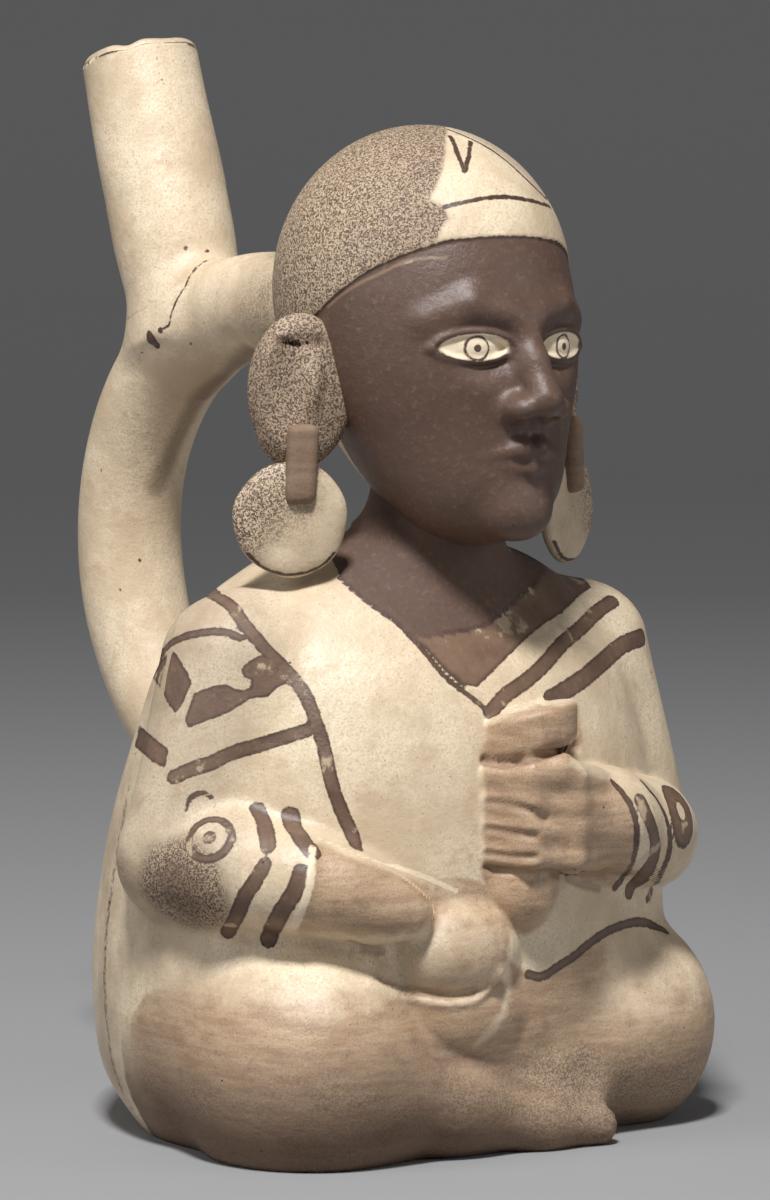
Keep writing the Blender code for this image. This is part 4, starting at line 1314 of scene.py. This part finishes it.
class BOTTLE_OT_ears(bpy.types.Operator):
    """Make the ears, their lobes and the ear discs"""

    bl_idname = "bottle.ears"
    bl_label = "Ears and discs"

    def execute(self, context):
        radius = context.scene.bottle_sizes.disc_radius / STEP
        for side, word in ((-1, "right"), (1, "left")):
            points = ray_surface(ear_plate, (-2.0, -0.8, 0.0), EAR_GRID, 20.0, rounds=3)
            points = placed(points, EAR_GRID[0], side, EAR_PLACE)
            marks = ear_marks(unplaced(points, side, EAR_PLACE))
            new_piece(word + "_ear", points, EAR_GRID[0], clay(), marks)
            points = ray_surface(ear_lobe, (0.0, 0.0, 0.0), LOBE_GRID, 12.0)
            points = placed(points, LOBE_GRID[0], side, LOBE_PLACE)
            new_piece(word + "_ear_lobe", points, LOBE_GRID[0], clay(),
                      marks_of(points, tan=-3.0, speckle=0.3, soot=0.85))
            points = placed(disc_points(radius, *DISC_GRID), DISC_GRID[0], side, DISC_PLACE)
            marks = disc_marks(unplaced(points, side, DISC_PLACE), radius)
            new_piece(word + "_ear_disc", points, DISC_GRID[0], clay(), marks)
        return {"FINISHED"}


class BOTTLE_OT_stirrup(bpy.types.Operator):
    """Make the stirrup and the spout that stands on it"""

    bl_idname = "bottle.stirrup"
    bl_label = "Stirrup and spout"

    def execute(self, context):
        sizes = context.scene.bottle_sizes
        points = stirrup_points(sizes, *TUBE_GRID)
        new_piece("stirrup", points, TUBE_GRID[0], clay(), tube_marks(points))
        points = spout_points(sizes, TUBE_GRID[0])
        new_piece("spout", points, TUBE_GRID[0], clay(), tube_marks(points, on_spout=True))
        return {"FINISHED"}


class BOTTLE_OT_studio(bpy.types.Operator):
    """Set up the floor and its round backdrop, soft lights and the camera"""

    bl_idname = "bottle.studio"
    bl_label = "Studio"

    def execute(self, context):
        scene = context.scene
        values = scene.bottle_studio
        add_floor(scene, values.paper)
        scene.world = bpy.data.worlds.new("studio")
        scene.world.use_nodes = True
        sky = scene.world.node_tree.nodes["Background"]
        sky.inputs["Color"].default_value = SKY_COLOUR
        sky.inputs["Strength"].default_value = values.sky_strength
        for name, (place, size) in LIGHTS.items():
            add_light(name, place, size, getattr(values, name + "_power"))
        scene.view_settings.view_transform = "Standard"
        add_camera(scene)
        return {"FINISHED"}


def add_floor(scene, colour):
    """The paper floor and the round backdrop it rises into: a profile turned about the bottle."""
    mesh = bpy.data.meshes.new("floor")
    quads, lids = grid_faces(FLOOR_COLUMNS, len(PAPER_PROFILE))
    angle = angles_round(FLOOR_COLUMNS)
    radius, height = np.array(PAPER_PROFILE).T
    rings = np.stack((radius[:, None] * np.cos(angle), radius[:, None] * np.sin(angle),
                      height[:, None] + 0.0 * angle), axis=-1).reshape(-1, 3)
    points = np.vstack((rings, ((0.0, 0.0, 0.0),)))
    mesh.from_pydata(points.tolist(), [], quads.tolist() + lids[:FLOOR_COLUMNS].tolist())
    mesh.shade_smooth()
    floor = bpy.data.objects.new("floor", mesh)
    scene.collection.objects.link(floor)
    paper = bpy.data.materials.new("pale_paper")
    paper.use_nodes = True
    shader = paper.node_tree.nodes["Principled BSDF"]
    shader.inputs["Base Color"].default_value = (*colour, 1.0)
    shader.inputs["Roughness"].default_value = PAPER_ROUGHNESS
    mesh.materials.append(paper)


def add_light(name, place, size, power):
    """A square soft light at a place, aimed at the bottle's middle."""
    data = bpy.data.lights.new(name, "AREA")
    data.size = size
    data.energy = power
    light = bpy.data.objects.new(name, data)
    light.location = place
    aim = Vector(LIGHT_AIM) - Vector(place)
    light.rotation_euler = aim.to_track_quat("-Z", "Y").to_euler()
    bpy.context.scene.collection.objects.link(light)


def add_camera(scene):
    """The photograph's camera, aimed at the middle of its frame."""
    data = bpy.data.cameras.new("camera")
    data.sensor_fit = "VERTICAL"
    data.sensor_height = 36.0
    middle = (PHOTO_SIZE[0] / 2.0, PHOTO_SIZE[1] / 2.0)
    eye, ways = rays_through((middle,))
    data.lens = data.sensor_height * FOCAL_PIXELS * float(np.linalg.norm(ways[0])) / PHOTO_SIZE[1]
    camera = bpy.data.objects.new("camera", data)
    camera.location = eye * STEP
    camera.rotation_euler = Vector(ways[0]).to_track_quat("-Z", "Y").to_euler()
    scene.collection.objects.link(camera)
    scene.camera = camera


class BOTTLE_PT_parts(bpy.types.Panel):
    """The bottle's parts and slips in the sidebar."""

    bl_label = "Effigy bottle"
    bl_idname = "BOTTLE_PT_parts"
    bl_space_type = "VIEW_3D"
    bl_region_type = "UI"
    bl_category = "Bottle"

    def draw(self, context):
        for operator in OPERATORS:
            self.layout.operator(operator.bl_idname)
        for kind, values in GROUPS.items():
            for name in kind.__annotations__:
                self.layout.prop(getattr(context.scene, values), name)


GROUPS = {BottleSlips: "bottle_slips", BottleSizes: "bottle_sizes", BottleStudio: "bottle_studio"}
OPERATORS = (BOTTLE_OT_body, BOTTLE_OT_head, BOTTLE_OT_ears, BOTTLE_OT_stirrup, BOTTLE_OT_studio)


def register():
    for kind in (*GROUPS, *OPERATORS, BOTTLE_PT_parts):
        bpy.utils.register_class(kind)
    for kind, name in GROUPS.items():
        setattr(bpy.types.Scene, name, bpy.props.PointerProperty(type=kind))


def unregister():
    for name in GROUPS.values():
        delattr(bpy.types.Scene, name)
    for kind in (BOTTLE_PT_parts, *reversed(OPERATORS), *reversed(GROUPS)):
        bpy.utils.unregister_class(kind)


def main():
    register()
    bpy.ops.bottle.body()
    bpy.ops.bottle.head()
    bpy.ops.bottle.ears()
    bpy.ops.bottle.stirrup()
    bpy.ops.bottle.studio()


if __name__ == "__main__":
    main()
